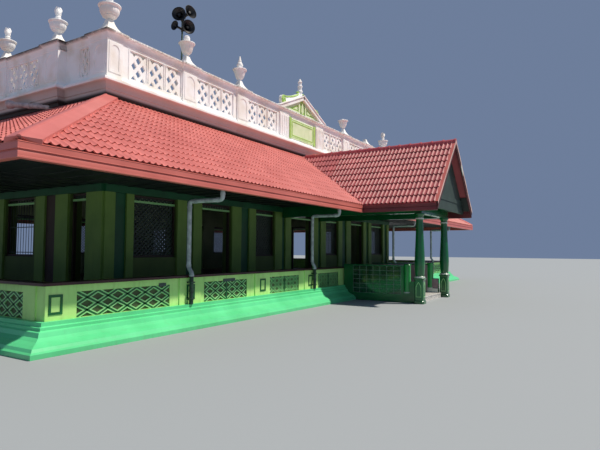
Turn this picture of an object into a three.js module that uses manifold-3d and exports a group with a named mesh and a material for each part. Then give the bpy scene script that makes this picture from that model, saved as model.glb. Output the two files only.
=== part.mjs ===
// Mosque building: a hall with a veranda all round, a gabled entrance porch and a parapet with urns.
// Millimetres, +Z up. X runs along the long front, Y runs from the entrance side into the building.
// Lengths along a side are measured from its left or front corner and are mirrored to the other half.
import * as THREE from 'three';
import { mergeVertices } from 'three/addons/utils/BufferGeometryUtils.js';
import Module from 'manifold-3d';

const wasm = await Module();
wasm.setup();

const gap = 0.3; // left between neighbouring solids

// Driving dimensions
const plan = { length: 25400, depth: 16500, frontVeranda: 2600, sideVeranda: 3100 };

const base = {
  height: 500, reach: 537, block: 80, ledge: 110, chamfer: 40, chamferRise: 25,
  hollowFoot: 210, hollowHead: 190, neckReach: 90, neckBottom: 350,
  beadReach: 40, beadBottom: 370, beadTop: 420, beadChamfer: 15,
};

const lowWall = {
  top: 1100, thickness: 230, relief: 25, pierWidth: 700, cornerWidth: 600,
  panelBottom: 505, panelTop: 970, panelRecess: 30,
  piers: [3500, 6330, 8950],
  panels: [[610, 2880], [3980, 5640], [6690, 8280], [9490, 10970]],
  jamb: [11000, 11520],
  backCentrePanel: 11600,
  sidePiers: [3500, 6330],
  sidePanels: [[560, 2880], [3980, 5640]],
  sideCentrePanel: 6900,
};

const coping = { height: 50, overhang: 32 };

const hall = {
  wall: 350, wallTop: 5570, sill: 1510, head: 3200, beamTop: 3390, pilasterRelief: 60, beamRelief: 90,
  frontWindows: [[4000, 5600], [9450, 10690]],
  frontDoors: [[6630, 8120]],
  mainDoorHalf: 900,
  frontPilasters: [[3100, 3400], [3770, 4000], [5600, 5970], [6270, 6630], [8120, 8610],
    [9060, 9450], [10690, 11150], [11400, 11800]],
  sideDoors: [[3260, 3960]],
  sideWindows: [[5640, 7100]],
  sideCentreDoorHalf: 800,
  sidePilasters: [[2600, 3220], [4000, 4540], [5040, 5450], [7100, 7450]],
  roofThickness: 160,
};

const eaves = { overhang: 1210, bottom: 3020, top: 3250, depth: 120, grooveHeight: 3130, groove: 18 };

const roof = { top: 5600, thickness: 110, hipHalfWidth: 330, hipThickness: 50 };

const ceiling = { thickness: 30, clear: 560 };

const parapet = {
  noseBottom: 5990, noseTop: 6050, flareTop: 6260, flareBulge: 70, top: 7350, copingBottom: 7120,
  lip: 45, thickness: 250, corniceReach: 240, copingReach: 110,
  fillet: 60, filletBottom: 100, filletTop: 150,
  pedestalRelief: 50, pedestalBottom: 6080, panelRecess: 60, panelBottom: 6300, panelTop: 7060,
  cornerWidth: 430, cornerDepth: 650,
  frontPedestals: [[5740, 6330], [8340, 8950]],
  frontPanels: [[3800, 5700], [6380, 8150], [8980, 10800]],
  backPedestals: [[5740, 6330], [8340, 8950], [10970, 11560]],
  backPanels: [[3800, 5700], [6380, 8150], [9100, 10820]],
  sideBreak: 4320, sideBreakReach: 210, centrePanelMargin: 150,
  sidePedestals: [[4320, 4950], [6870, 7490]],
  sidePanels: [[3370, 3730], [5310, 6830]],
};

const urn = { rim: 250, foot: 150, footTop: 310, cornerScale: 1.17, sides: 10 };

const pediment = {
  halfWidth: 1850, apex: 8170, rakeDepth: 150, rakeReach: 90, plateHalf: 1025, plateRelief: 30,
  plateBottom: 6260, plateTop: 7060, pierInner: 1080, pierOuter: 1730, scrollFoot: 1500,
  scrollTop: 8330, scrollRadius: 190, scrollThickness: 120, scrollInner: 60, scrollLift: 60,
  scrollArc: [-0.5, 0.6 * Math.PI], shoulderReach: 350, shoulderRise: 20, hollowReach: 400, hollowDrop: 300,
  pierRise: 30, overlap: 10, rakeRise: 40, finialSides: 8,
};

// Radius and height of the pediment's finial, from the apex upward
const finialProfile = [[130, -80], [130, 60], [60, 160], [110, 300], [50, 400], [70, 560], [0, 800]];

const porch = {
  eave: 2290, verge: -3740, boardThickness: 40, boardDepth: 260, boardRise: 45,
  columnX: 1467, columnY: -2887, pedestal: 300, pedestalChamfer: 40, pedestalTop: 845, capHeight: 50,
  capReach: 25, columnTop: 2990, columnSides: 20, beamWidth: 220, ceilingHalf: 1900,
  gableY: -3400, gableBottom: 3170, gableThickness: 90, gableBand: [3500, 3660], gableBandRelief: 20,
  ridgeRadius: 130, ridgeSides: 8, ridgeLift: 45, ridgeRise: 150,
  sideWallOuter: 1400, sideWallThickness: 220, sideWallTop: 1240, sideWallFront: -2300,
  newelY: -2400, newelRadius: 110, newelRise: 40, newelSides: 18,
  footWallTop: 670, footWallThickness: 140, plinthTop: 320,
  stepFront: -2820, stepRise: 170, stepTread: 300,
};

// From the floor of the pedestal's cap upward: radius and height of the turned column
const columnProfile = [
  [165, 0], [165, 50], [140, 65], [150, 110], [168, 350], [170, 480], [156, 850], [134, 1300],
  [119, 1750], [116, 1925], [138, 1940], [138, 1990], [118, 2005], [135, 2060], [172, 2100],
];

const downpipe = {
  radius: 50, sides: 10, stations: [3430, 9070], outletY: -1000, run: 2845, upperY: -20,
  jogTop: 1330, jogBottom: 1210, wallY: -112, bend: 90,
};

// Each horn: heading in degrees from +X, height, upward tilt in degrees, scale
const mast = {
  x: -6000, y: 3600, radius: 30, top: 9520, sides: 12,
  hornRadius: 225, hornLength: 350, throatRadius: 45, hornSheet: 12,
  hornProfile: {
    neckRadius: 58, neckAt: 0.5, flareShare: 0.65, flareAt: 0.85, innerThroatAt: 0.45, plugAt: 0.4,
  },
  horns: [[210, 9290, 0, 1], [262, 9360, 10, 1], [252, 8960, -6, 1], [180, 8980, 0, 0.7]],
};

// Derived positions
const halfLength = plan.length / 2;
const hallHalf = halfLength - plan.sideVeranda;
const hallFront = plan.frontVeranda;
const hallBack = plan.depth - plan.frontVeranda;
const hallDepth = hallBack - hallFront;
const eaveHalf = halfLength + eaves.overhang;
const eaveFront = -eaves.overhang;
const eaveBack = plan.depth + eaves.overhang;
const roofRise = roof.top - eaves.top;
const frontPitch = roofRise / (hallFront - eaveFront);
const sidePitch = roofRise / (eaveHalf - hallHalf);
const porchPitch = roofRise / porch.eave;

// Each side of a rectangle has its own u, along the side, and v, inwards from its outer face.
function sideMaps(half, front, back) {
  return {
    front: (u, v, z) => new THREE.Vector3(u - half, front + v, z),
    back: (u, v, z) => new THREE.Vector3(u - half, back - v, z),
    left: (u, v, z) => new THREE.Vector3(-half + v, front + u, z),
    right: (u, v, z) => new THREE.Vector3(half - v, front + u, z),
  };
}
const outer = sideMaps(halfLength, 0, plan.depth);
const inner = sideMaps(hallHalf, hallFront, hallBack);
const eaveMaps = sideMaps(eaveHalf, eaveFront, eaveBack);

// Solids and booleans
function toSolid(geometry) {
  const bare = geometry.clone();
  bare.deleteAttribute('normal');
  bare.deleteAttribute('uv');
  const merged = mergeVertices(bare, 0.01);
  const mesh = new wasm.Mesh({
    numProp: 3,
    vertProperties: Float32Array.from(merged.attributes.position.array),
    triVerts: Uint32Array.from(merged.index.array),
  });
  return new wasm.Manifold(mesh);
}

function toGeometry(solid) {
  const mesh = solid.getMesh();
  const geometry = new THREE.BufferGeometry();
  geometry.setAttribute('position', new THREE.BufferAttribute(mesh.vertProperties, 3));
  geometry.setIndex(new THREE.BufferAttribute(mesh.triVerts, 1));
  return geometry;
}

function join(...geometries) {
  return toGeometry(geometries.map(toSolid).reduce((body, next) => body.add(next)));
}

function cut(geometry, ...tools) {
  return toGeometry(tools.map(toSolid).reduce((body, tool) => body.subtract(tool), toSolid(geometry)));
}

// Shapes
function box(x0, x1, y0, y1, z0, z1) {
  const geometry = new THREE.BoxGeometry(Math.abs(x1 - x0), Math.abs(y1 - y0), Math.abs(z1 - z0));
  return geometry.translate((x0 + x1) / 2, (y0 + y1) / 2, (z0 + z1) / 2);
}

function boxOn(map, u0, u1, v0, v1, z0, z1) {
  const a = map(u0, v0, z0);
  const b = map(u1, v1, z1);
  return box(a.x, b.x, a.y, b.y, a.z, b.z);
}

// A closed body through rings of points that all have the same count.
function loft(rings) {
  const count = rings[0].length;
  const points = rings.flat();
  const faces = [];
  for (let ring = 0; ring < rings.length - 1; ring += 1) {
    for (let i = 0; i < count; i += 1) {
      const a = ring * count + i;
      const b = ring * count + ((i + 1) % count);
      faces.push([a, b, b + count], [a, b + count, a + count]);
    }
  }
  const axis = new THREE.Vector3();
  rings[0].forEach((point, i) => axis.add(point.clone().cross(rings[0][(i + 1) % count])));
  const turn = new THREE.Quaternion().setFromUnitVectors(axis.normalize(), new THREE.Vector3(0, 0, 1));
  const flat = rings[0].map((point) => point.clone().applyQuaternion(turn));
  const cap = THREE.ShapeUtils.triangulateShape(flat.map((p) => new THREE.Vector2(p.x, p.y)), []);
  const last = (rings.length - 1) * count;
  cap.forEach(([a, b, c]) => faces.push([c, b, a], [last + a, last + b, last + c]));
  let volume = 0;
  faces.forEach(([a, b, c]) => {
    volume += points[a].dot(points[b].clone().cross(points[c]));
  });
  const index = volume > 0 ? faces.flat() : faces.flatMap(([a, b, c]) => [a, c, b]);
  const geometry = new THREE.BufferGeometry().setFromPoints(points);
  geometry.setIndex(index);
  geometry.computeVertexNormals();
  return geometry;
}

// A moulding along a side, with its profile in (v, z) and both ends mitred or square.
function run(map, profile, u0, u1, mitre0 = 0, mitre1 = 0) {
  const start = profile.map(([v, z]) => map(u0 + mitre0 * v, v, z));
  const end = profile.map(([v, z]) => map(u1 - mitre1 * v, v, z));
  return loft([start, end]);
}

// A flat plate with sloping faces: the plan corners, the height of its top there, and its thickness.
function slopedPlate(corners, height, thickness) {
  const top = corners.map(([x, y]) => new THREE.Vector3(x, y, height(x, y)));
  const bottom = top.map((point) => point.clone().setZ(point.z - thickness));
  return loft([bottom, top]);
}

// An upright plate: its outline in (x, z), drawn between two values of Y.
function uprightPlate(outline, y0, y1) {
  return loft([outline.map(([x, z]) => new THREE.Vector3(x, y0, z)),
    outline.map(([x, z]) => new THREE.Vector3(x, y1, z))]);
}

function lathe(profile, segments, x, y, z) {
  const geometry = new THREE.LatheGeometry(profile.map(([r, h]) => new THREE.Vector2(r, h)), segments);
  return geometry.rotateX(Math.PI / 2).translate(x, y, z);
}

// Pieces
const building = new THREE.Group();
building.position.y = -(porch.verge + eaveBack) / 2;

function finish(color, roughness = 0.85, metalness = 0) {
  return new THREE.MeshStandardMaterial({ color, roughness, metalness });
}

const finishes = {
  plinth: finish(0x3fc46a), lowWall: finish(0x8cc25a), coping: finish(0x3c0a0f, 0.4),
  hallWall: finish(0x8fa85f), white: finish(0xe9e4e0), roofTile: finish(0xd86a62, 0.5),
  fascia: finish(0xe07a70, 0.45), porchTile: finish(0xbe5555, 0.4), ceiling: finish(0x2c3a3a),
  column: finish(0x0a7a3c, 0.35), tile: finish(0x0d5a3c, 0.25), step: finish(0xc9c4c2, 0.6),
  pipe: finish(0xc6ccd0, 0.45), speaker: finish(0x15171b, 0.5),
  gable: finish(0x5f7466), concrete: finish(0x9a9894),
};

function add(name, geometry, material) {
  const mesh = new THREE.Mesh(geometry, material.clone());
  mesh.name = name;
  building.add(mesh);
}

// Raised base, one mass of masonry with a moulded plinth round it
function plinthProfile() {
  const path = new THREE.Path();
  path.moveTo(base.reach, 0);
  path.lineTo(base.reach, base.block);
  const foot = base.reach - base.chamfer;
  const neck = base.ledge + base.neckReach;
  const bead = base.ledge + base.beadReach;
  path.lineTo(foot, base.block + base.chamferRise);
  path.bezierCurveTo(foot, base.hollowFoot, neck, base.hollowHead, neck, base.neckBottom);
  path.lineTo(bead, base.beadBottom);
  path.lineTo(bead, base.beadTop);
  path.lineTo(base.ledge, base.beadTop + base.beadChamfer);
  path.lineTo(base.ledge, base.height);
  return path.getPoints(5);
}

function raisedBase() {
  const rings = plinthProfile().map(({ x: reach, y: z }) => [
    new THREE.Vector3(-halfLength - reach, -reach, z),
    new THREE.Vector3(halfLength + reach, -reach, z),
    new THREE.Vector3(halfLength + reach, plan.depth + reach, z),
    new THREE.Vector3(-halfLength - reach, plan.depth + reach, z),
  ]);
  const entrance = box(-porch.sideWallOuter - gap, porch.sideWallOuter + gap, -2 * base.reach, 0,
    -base.height, 2 * base.height);
  return cut(loft(rings), entrance);
}
add('raised_base', raisedBase(), finishes.plinth);

// Low wall round the veranda, with piers and recessed panels
function lowWallRun(map, from, to, piers, panels) {
  const body = boxOn(map, from, to, 0, lowWall.thickness, base.height + gap, lowWall.top);
  const proud = piers.map(([a, b]) => boxOn(map, a, b, -lowWall.relief, lowWall.thickness / 2,
    base.height + gap, lowWall.top));
  const recesses = panels.map(([a, b]) => boxOn(map, a, b, -1, lowWall.panelRecess,
    lowWall.panelBottom, lowWall.panelTop));
  return cut(join(body, ...proud), ...recesses);
}

const pierAt = (centre) => [centre - lowWall.pierWidth / 2, centre + lowWall.pierWidth / 2];
const mirrorIn = (length) => ([a, b]) => [length - b, length - a];
const bothHalves = (list, length) => [...list, ...list.map(mirrorIn(length))];

const cornerPier = [0, lowWall.cornerWidth];
const frontPiers = [cornerPier, ...lowWall.piers.map(pierAt), lowWall.jamb];
const backPiers = bothHalves(frontPiers, plan.length);
const sideEnd = lowWall.thickness + gap;
const sidePiers = bothHalves([[sideEnd, lowWall.cornerWidth], ...lowWall.sidePiers.map(pierAt)], plan.depth);
const centrePanel = [lowWall.backCentrePanel, plan.length - lowWall.backCentrePanel];
const sideCentrePanel = [lowWall.sideCentrePanel, plan.depth - lowWall.sideCentrePanel];
const sidePanels = [...bothHalves(lowWall.sidePanels, plan.depth), sideCentrePanel];

add('low_wall_front_left', lowWallRun(outer.front, 0, lowWall.jamb[1], frontPiers, lowWall.panels),
  finishes.lowWall);
add('low_wall_front_right', lowWallRun(outer.front, plan.length - lowWall.jamb[1], plan.length,
  frontPiers.map(mirrorIn(plan.length)), lowWall.panels.map(mirrorIn(plan.length))), finishes.lowWall);
add('low_wall_back', lowWallRun(outer.back, 0, plan.length, backPiers,
  [...bothHalves(lowWall.panels, plan.length), centrePanel]), finishes.lowWall);
add('low_wall_left', lowWallRun(outer.left, sideEnd, plan.depth - sideEnd, sidePiers, sidePanels),
  finishes.lowWall);
add('low_wall_right', lowWallRun(outer.right, sideEnd, plan.depth - sideEnd, sidePiers, sidePanels),
  finishes.lowWall);

// Coping on the low wall
const copingBottom = lowWall.top + gap;
const copingTop = copingBottom + coping.height;
const copingInside = lowWall.thickness + coping.overhang;
function copingRun(map, u0, u1, mitre0, mitre1) {
  const reach = lowWall.relief + coping.overhang;
  return run(map, [[-reach, copingBottom], [copingInside, copingBottom], [copingInside, copingTop],
    [-reach, copingTop]], u0, u1, mitre0, mitre1);
}
add('coping_front_left', copingRun(outer.front, gap, lowWall.jamb[1], 1, 0), finishes.coping);
add('coping_front_right', copingRun(outer.front, plan.length - lowWall.jamb[1], plan.length - gap, 0, 1),
  finishes.coping);
add('coping_back', copingRun(outer.back, gap, plan.length - gap, 1, 1), finishes.coping);
add('coping_left', copingRun(outer.left, gap, plan.depth - gap, 1, 1), finishes.coping);
add('coping_right', copingRun(outer.right, gap, plan.depth - gap, 1, 1), finishes.coping);

// Hall walls, with doorways and windows cut through, pilasters and a beam band
function hallWall(map, from, to, openings, pilasters) {
  const bottom = base.height + gap;
  const body = boxOn(map, from, to, 0, hall.wall, bottom, hall.wallTop);
  const strips = pilasters.map(([a, b]) => boxOn(map, Math.max(a, from), Math.min(b, to),
    -hall.pilasterRelief, hall.wall / 2, bottom, hall.head + 1));
  const beam = boxOn(map, from, to, -hall.beamRelief, hall.wall / 2, hall.head, hall.beamTop);
  const holes = openings.map(([a, b, z]) => boxOn(map, a, b, -hall.wall, 2 * hall.wall, z, hall.head));
  return cut(join(body, beam, ...strips), ...holes);
}

const doorway = (offset) => ([a, b]) => [a - offset, b - offset, 0];
const windowHole = (offset) => ([a, b]) => [a - offset, b - offset, hall.sill];
const shifted = (offset) => ([a, b]) => [a - offset, b - offset];
const keepHeight = (length) => ([a, b, z]) => [length - b, length - a, z];
function frontOpenings(mainDoor) {
  const half = [...hall.frontWindows.map(windowHole(plan.sideVeranda)),
    ...hall.frontDoors.map(doorway(plan.sideVeranda))];
  const length = 2 * hallHalf;
  return [...half, ...half.map(keepHeight(length)), ...mainDoor];
}
function sideOpenings() {
  const half = [...hall.sideWindows.map(windowHole(hallFront)), ...hall.sideDoors.map(doorway(hallFront))];
  const centre = [hallDepth / 2 - hall.sideCentreDoorHalf, hallDepth / 2 + hall.sideCentreDoorHalf, 0];
  return [...half, ...half.map(keepHeight(hallDepth)), centre];
}
const mainDoor = [[hallHalf - hall.mainDoorHalf, hallHalf + hall.mainDoorHalf, 0]];
const frontStrips = bothHalves(hall.frontPilasters.map(shifted(plan.sideVeranda)), 2 * hallHalf);
const sideStrips = bothHalves(hall.sidePilasters.map(shifted(hallFront)), hallDepth);
const sideFrom = hall.wall + gap;
add('hall_wall_front', hallWall(inner.front, 0, 2 * hallHalf, frontOpenings(mainDoor), frontStrips),
  finishes.hallWall);
add('hall_wall_back', hallWall(inner.back, 0, 2 * hallHalf, frontOpenings(mainDoor), frontStrips),
  finishes.hallWall);
add('hall_wall_left', hallWall(inner.left, sideFrom, hallDepth - sideFrom, sideOpenings(), sideStrips),
  finishes.hallWall);
add('hall_wall_right', hallWall(inner.right, sideFrom, hallDepth - sideFrom, sideOpenings(), sideStrips),
  finishes.hallWall);

const slabInset = parapet.thickness + gap;
add('hall_roof', box(-hallHalf + slabInset, hallHalf - slabInset, hallFront + slabInset,
  hallBack - slabInset, hall.wallTop + gap, hall.wallTop + hall.roofThickness), finishes.concrete);

// Veranda ceiling boards between the hall wall and the back of the eaves
const ceilingBottom = hall.beamTop + gap;
const ceilingTop = ceilingBottom + ceiling.thickness;
const ceilingFront = eaveFront + ceiling.clear;
const ceilingHalf = eaveHalf - ceiling.clear;
const boards = (x0, x1, y0, y1) => box(x0, x1, y0, y1, ceilingBottom, ceilingTop);
const gableBack = porch.gableY + porch.gableThickness / 2;
add('veranda_ceiling_front', join(boards(-ceilingHalf, ceilingHalf, ceilingFront, hallFront - gap),
  boards(-porch.ceilingHalf, porch.ceilingHalf, gableBack + gap, hallFront / 2)), finishes.ceiling);
add('veranda_ceiling_back', boards(-ceilingHalf, ceilingHalf, hallBack + gap, eaveBack - ceiling.clear),
  finishes.ceiling);
add('veranda_ceiling_left', boards(-ceilingHalf, -hallHalf - gap, hallFront, hallBack), finishes.ceiling);
add('veranda_ceiling_right', boards(hallHalf + gap, ceilingHalf, hallFront, hallBack), finishes.ceiling);

// Veranda roof: four slopes from the eaves to the hall wall, cut at the porch by two valleys
const slabEdge = eaves.depth + gap;
const frontHeight = (x, y) => eaves.top + frontPitch * (y - eaveFront);
const backHeight = (x, y) => eaves.top + frontPitch * (eaveBack - y);
const sideHeight = (x) => eaves.top + sidePitch * (eaveHalf - Math.abs(x));
const porchHeight = (x) => eaves.top + porchPitch * (porch.eave - Math.abs(x));
const hipRatio = (eaveHalf - hallHalf) / (hallFront - eaveFront);
const valleyRatio = (hallFront - eaveFront) / porch.eave;
const hipX = (reach) => eaveHalf - reach * hipRatio;
const wallReach = hallFront - eaveFront - gap;

function endSlope(side, clearance) {
  const reach = eaveHalf - slabEdge * hipRatio;
  return slopedPlate([
    [side * reach, eaveFront + slabEdge + 2 * gap],
    [side * reach, eaveBack - slabEdge - 2 * gap],
    [side * (hallHalf + gap), hallBack - gap],
    [side * (hallHalf + gap), hallFront + gap],
  ], (x) => sideHeight(x) + clearance, roof.thickness + clearance);
}

for (const side of [-1, 1]) {
  const name = side < 0 ? 'left' : 'right';
  const front = [
    [side * (hipX(slabEdge) - gap), eaveFront + slabEdge],
    [side * (hipX(wallReach) - gap), hallFront - gap],
    [side * gap, hallFront - gap],
    [side * (porch.eave - slabEdge / valleyRatio + gap), eaveFront + slabEdge],
  ];
  add(`veranda_roof_front_${name}`, slopedPlate(front, frontHeight, roof.thickness), finishes.roofTile);
  add(`veranda_roof_${name}`, endSlope(side, 0), finishes.roofTile);
}
const backSlope = [
  [-hipX(slabEdge) + gap, eaveBack - slabEdge],
  [hipX(slabEdge) - gap, eaveBack - slabEdge],
  [hipX(wallReach) - gap, hallBack + gap],
  [-hipX(wallReach) + gap, hallBack + gap],
];
add('veranda_roof_back', slopedPlate(backSlope, backHeight, roof.thickness), finishes.roofTile);

// Hip caps, smooth folded sheet over the four hips
function hipCap(sideX, sideY) {
  const seam = 2; // the two wings share this much past the hip line
  const foot = { x: sideX * (eaveHalf - seam), y: sideY < 0 ? eaveFront + seam : eaveBack - seam };
  const clear = 2 * seam;
  const head = { x: sideX * (hallHalf + clear), y: sideY < 0 ? hallFront - clear : hallBack + clear };
  const lift = roof.hipThickness + gap;
  const wing = (dx, dy, height) => slopedPlate([
    [foot.x - seam * Math.sign(dx), foot.y - seam * Math.sign(dy)],
    [foot.x + dx, foot.y + dy],
    [head.x + dx, head.y + dy],
    [head.x - seam * Math.sign(dx), head.y - seam * Math.sign(dy)],
  ], (x, y) => height(x, y) + lift, roof.hipThickness);
  const along = wing(-sideX * roof.hipHalfWidth, 0, sideY < 0 ? frontHeight : backHeight);
  const across = wing(0, -sideY * roof.hipHalfWidth, sideHeight);
  return join(along, across);
}
add('hip_cap_front_left', hipCap(-1, -1), finishes.fascia);
add('hip_cap_front_right', hipCap(1, -1), finishes.fascia);
add('hip_cap_back_left', hipCap(-1, 1), finishes.fascia);
add('hip_cap_back_right', hipCap(1, 1), finishes.fascia);

// Eaves fascia with its gutter line
const fasciaProfile = [
  [0, eaves.top], [0, eaves.grooveHeight + eaves.groove], [eaves.groove, eaves.grooveHeight + eaves.groove],
  [eaves.groove, eaves.grooveHeight], [eaves.groove / 2, eaves.grooveHeight],
  [eaves.groove / 2, eaves.bottom], [eaves.depth, eaves.bottom], [eaves.depth, eaves.top],
];
const eaveLength = 2 * eaveHalf;
const eaveDepth = eaveBack - eaveFront;
const porchMaps = sideMaps(porch.eave, porch.verge, eaveFront);
const porchEaveLength = eaveFront - porch.verge;
const toPorch = eaveHalf - porch.eave - gap;
add('eaves_front_left', run(eaveMaps.front, fasciaProfile, gap, toPorch, 1, -1), finishes.fascia);
add('eaves_front_right', run(eaveMaps.front, fasciaProfile, eaveLength - toPorch, eaveLength - gap, -1, 1),
  finishes.fascia);
add('eaves_back', run(eaveMaps.back, fasciaProfile, gap, eaveLength - gap, 1, 1), finishes.fascia);
add('eaves_left', run(eaveMaps.left, fasciaProfile, gap, eaveDepth - gap, 1, 1), finishes.fascia);
add('eaves_right', run(eaveMaps.right, fasciaProfile, gap, eaveDepth - gap, 1, 1), finishes.fascia);
for (const name of ['left', 'right']) {
  add(`porch_eaves_${name}`, run(porchMaps[name], fasciaProfile, porch.boardThickness + gap,
    porchEaveLength - gap, 0, -1), finishes.fascia);
}

// Porch roof, verge boards, ridge cap and gable
for (const side of [-1, 1]) {
  const name = side < 0 ? 'left' : 'right';
  const front = porch.verge + porch.boardThickness + gap;
  const eave = porch.eave - slabEdge;
  const slope = [
    [side * eave, front],
    [side * gap, front],
    [side * gap, hallFront - 3 * gap],
    [side * eave, eaveFront + slabEdge * valleyRatio - 2 * gap],
  ];
  add(`porch_roof_${name}`, slopedPlate(slope, porchHeight, roof.thickness), finishes.porchTile);
}

function vergeBoards() {
  const top = (x) => porchHeight(x) + porch.boardRise;
  const upper = [[-porch.eave, top(porch.eave)], [0, top(0)], [porch.eave, top(porch.eave)]];
  const lower = upper.map(([x, z]) => [x, z - porch.boardDepth]).reverse();
  return uprightPlate([...upper, ...lower], porch.verge, porch.verge + porch.boardThickness);
}
add('porch_verge_boards', vergeBoards(), finishes.fascia);

function ridgeCap() {
  const r = porch.ridgeRadius;
  const edge = roof.top - r * porchPitch + gap * 2;
  const outline = [[-r, edge], [0, roof.top + gap * 2], [r, edge]];
  for (let i = 0; i <= porch.ridgeSides; i += 1) {
    const angle = (Math.PI * i) / porch.ridgeSides;
    outline.push([r * Math.cos(angle), edge + porch.ridgeLift + porch.ridgeRise * Math.sin(angle)]);
  }
  const start = porch.verge + porch.boardThickness + gap;
  return uprightPlate(outline, start, hallFront - r * valleyRatio);
}
add('porch_ridge_cap', ridgeCap(), finishes.porchTile);

const beamBottom = porch.columnTop + gap;
const beamTop = hall.beamTop;
function porchGable() {
  const { gableBottom, gableBand, gableThickness, gableBandRelief } = porch;
  const under = (x) => porchHeight(x) - roof.thickness - 2 * gap;
  const half = porch.eave - eaves.depth - gap;
  const outline = [[-half, gableBottom], [half, gableBottom], [half, under(half)], [0, under(0)],
    [-half, under(half)]];
  const halfAt = (z) => (under(0) - z) / porchPitch;
  const [low, high] = gableBand;
  const band = [[-halfAt(low), low], [halfAt(low), low], [halfAt(high), high], [-halfAt(high), high]];
  const front = gableBack - gableThickness;
  return join(uprightPlate(outline, front, gableBack),
    uprightPlate(band, front - gableBandRelief, front + gableBandRelief));
}
add('porch_gable', porchGable(), finishes.gable);

function porchBeams() {
  const half = porch.beamWidth / 2;
  const back = hallFront - hall.beamRelief - gap;
  const bar = (x) => box(x - half, x + half, porch.columnY - half, back, beamBottom, beamTop);
  const cross = box(-porch.columnX, porch.columnX, porch.columnY - half, porch.columnY + half,
    beamBottom, beamTop);
  return join(cross, bar(-porch.columnX), bar(porch.columnX));
}
add('porch_beams', porchBeams(), finishes.column);

// Porch columns on square pedestals with cut corners
const sunk = 5; // how far joined pieces enter one another
function turnedColumn(x) {
  const head = porch.columnTop - porch.pedestalTop;
  const [foot] = columnProfile[0];
  const [crown] = columnProfile[columnProfile.length - 1];
  return lathe([[0, -sunk], [foot, -sunk], ...columnProfile, [crown, head], [0, head]], porch.columnSides,
    x, porch.columnY, porch.pedestalTop);
}

function pedestalRing(x, reach, z) {
  const half = porch.pedestal / 2 + reach;
  const cornerCut = half - porch.pedestalChamfer;
  const ring = [[half, cornerCut], [cornerCut, half], [-cornerCut, half], [-half, cornerCut],
    [-half, -cornerCut], [-cornerCut, -half], [cornerCut, -half], [half, -cornerCut]];
  return ring.map(([dx, dy]) => new THREE.Vector3(x + dx, porch.columnY + dy, z));
}

const plinthFront = porch.columnY + porch.pedestal / 2 + porch.capReach + gap;
const wallBack = -coping.overhang - lowWall.relief - gap;
function sideWall(side) {
  const wallOuter = side * porch.sideWallOuter;
  const wallInner = side * (porch.sideWallOuter - porch.sideWallThickness);
  const middle = (wallOuter + wallInner) / 2;
  const footHalf = porch.footWallThickness / 2;
  const body = box(wallOuter, wallInner, porch.sideWallFront, wallBack, 0, porch.sideWallTop);
  const plinth = box(wallOuter, wallInner, plinthFront, porch.sideWallFront + sunk, 0, porch.plinthTop);
  const foot = box(middle - footHalf, middle + footHalf, plinthFront, porch.sideWallFront + sunk,
    porch.plinthTop - sunk, porch.footWallTop);
  const newelFoot = porch.plinthTop - sunk;
  const newelTop = porch.sideWallTop + porch.newelRise;
  const newel = new THREE.CylinderGeometry(porch.newelRadius, porch.newelRadius, newelTop - newelFoot,
    porch.newelSides);
  newel.rotateX(Math.PI / 2);
  newel.translate(middle, porch.newelY, (newelTop + newelFoot) / 2);
  return join(body, plinth, foot, newel);
}

for (const side of [-1, 1]) {
  const name = side < 0 ? 'left' : 'right';
  const x = side * porch.columnX;
  const pedestal = loft([pedestalRing(x, 0, 0), pedestalRing(x, 0, porch.pedestalTop - sunk)]);
  const cap = loft([pedestalRing(x, porch.capReach, porch.pedestalTop - porch.capHeight),
    pedestalRing(x, porch.capReach, porch.pedestalTop)]);
  add(`porch_column_${name}`, join(pedestal, cap, turnedColumn(x)), finishes.column);
  add(`porch_side_wall_${name}`, sideWall(side), finishes.tile);
}

// Entrance steps
function entranceSteps() {
  const { stepFront, stepRise, stepTread } = porch;
  const half = porch.sideWallOuter - porch.sideWallThickness - gap;
  const outline = [[stepFront, 0], [stepFront, stepRise], [-2 * stepTread, stepRise],
    [-2 * stepTread, 2 * stepRise], [-stepTread, 2 * stepRise], [-stepTread, base.height],
    [-gap, base.height], [-gap, 0]];
  return loft([outline.map(([y, z]) => new THREE.Vector3(-half, y, z)),
    outline.map(([y, z]) => new THREE.Vector3(half, y, z))]);
}
add('entrance_steps', entranceSteps(), finishes.step);

// Parapet: cornice, pedestals, recessed panels, coping and urns, one mass of masonry on each side
const lipBottom = parapet.top - parapet.lip;
const coveDepth = lipBottom - parapet.copingBottom;
const copingSteps = [
  [0.12 * parapet.copingReach, parapet.copingBottom + 0.4 * coveDepth],
  [0.42 * parapet.copingReach, parapet.copingBottom + 0.75 * coveDepth],
  [0.85 * parapet.copingReach, lipBottom], [parapet.copingReach, lipBottom],
  [parapet.copingReach, parapet.top],
];
function parapetProfile() {
  const { noseBottom, noseTop, flareTop, flareBulge, copingBottom, thickness, fillet } = parapet;
  const filletBottom = hall.wallTop + parapet.filletBottom;
  const filletTop = hall.wallTop + parapet.filletTop;
  const reach = parapet.corniceReach;
  const path = new THREE.Path();
  path.moveTo(thickness, hall.wallTop + gap);
  path.lineTo(0, hall.wallTop + gap);
  path.lineTo(0, filletBottom);
  path.lineTo(-fillet, filletBottom);
  path.lineTo(-fillet, filletTop);
  path.quadraticCurveTo(-fillet, noseBottom, -reach, noseBottom);
  path.lineTo(-reach, noseTop);
  path.quadraticCurveTo(-flareBulge, noseTop + flareBulge, 0, flareTop);
  path.lineTo(0, copingBottom);
  const face = path.getPoints(3).map(({ x, y }) => [x, y]);
  return [...face, ...copingSteps.map(([out, z]) => [-out, z]), [thickness, parapet.top]];
}

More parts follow.
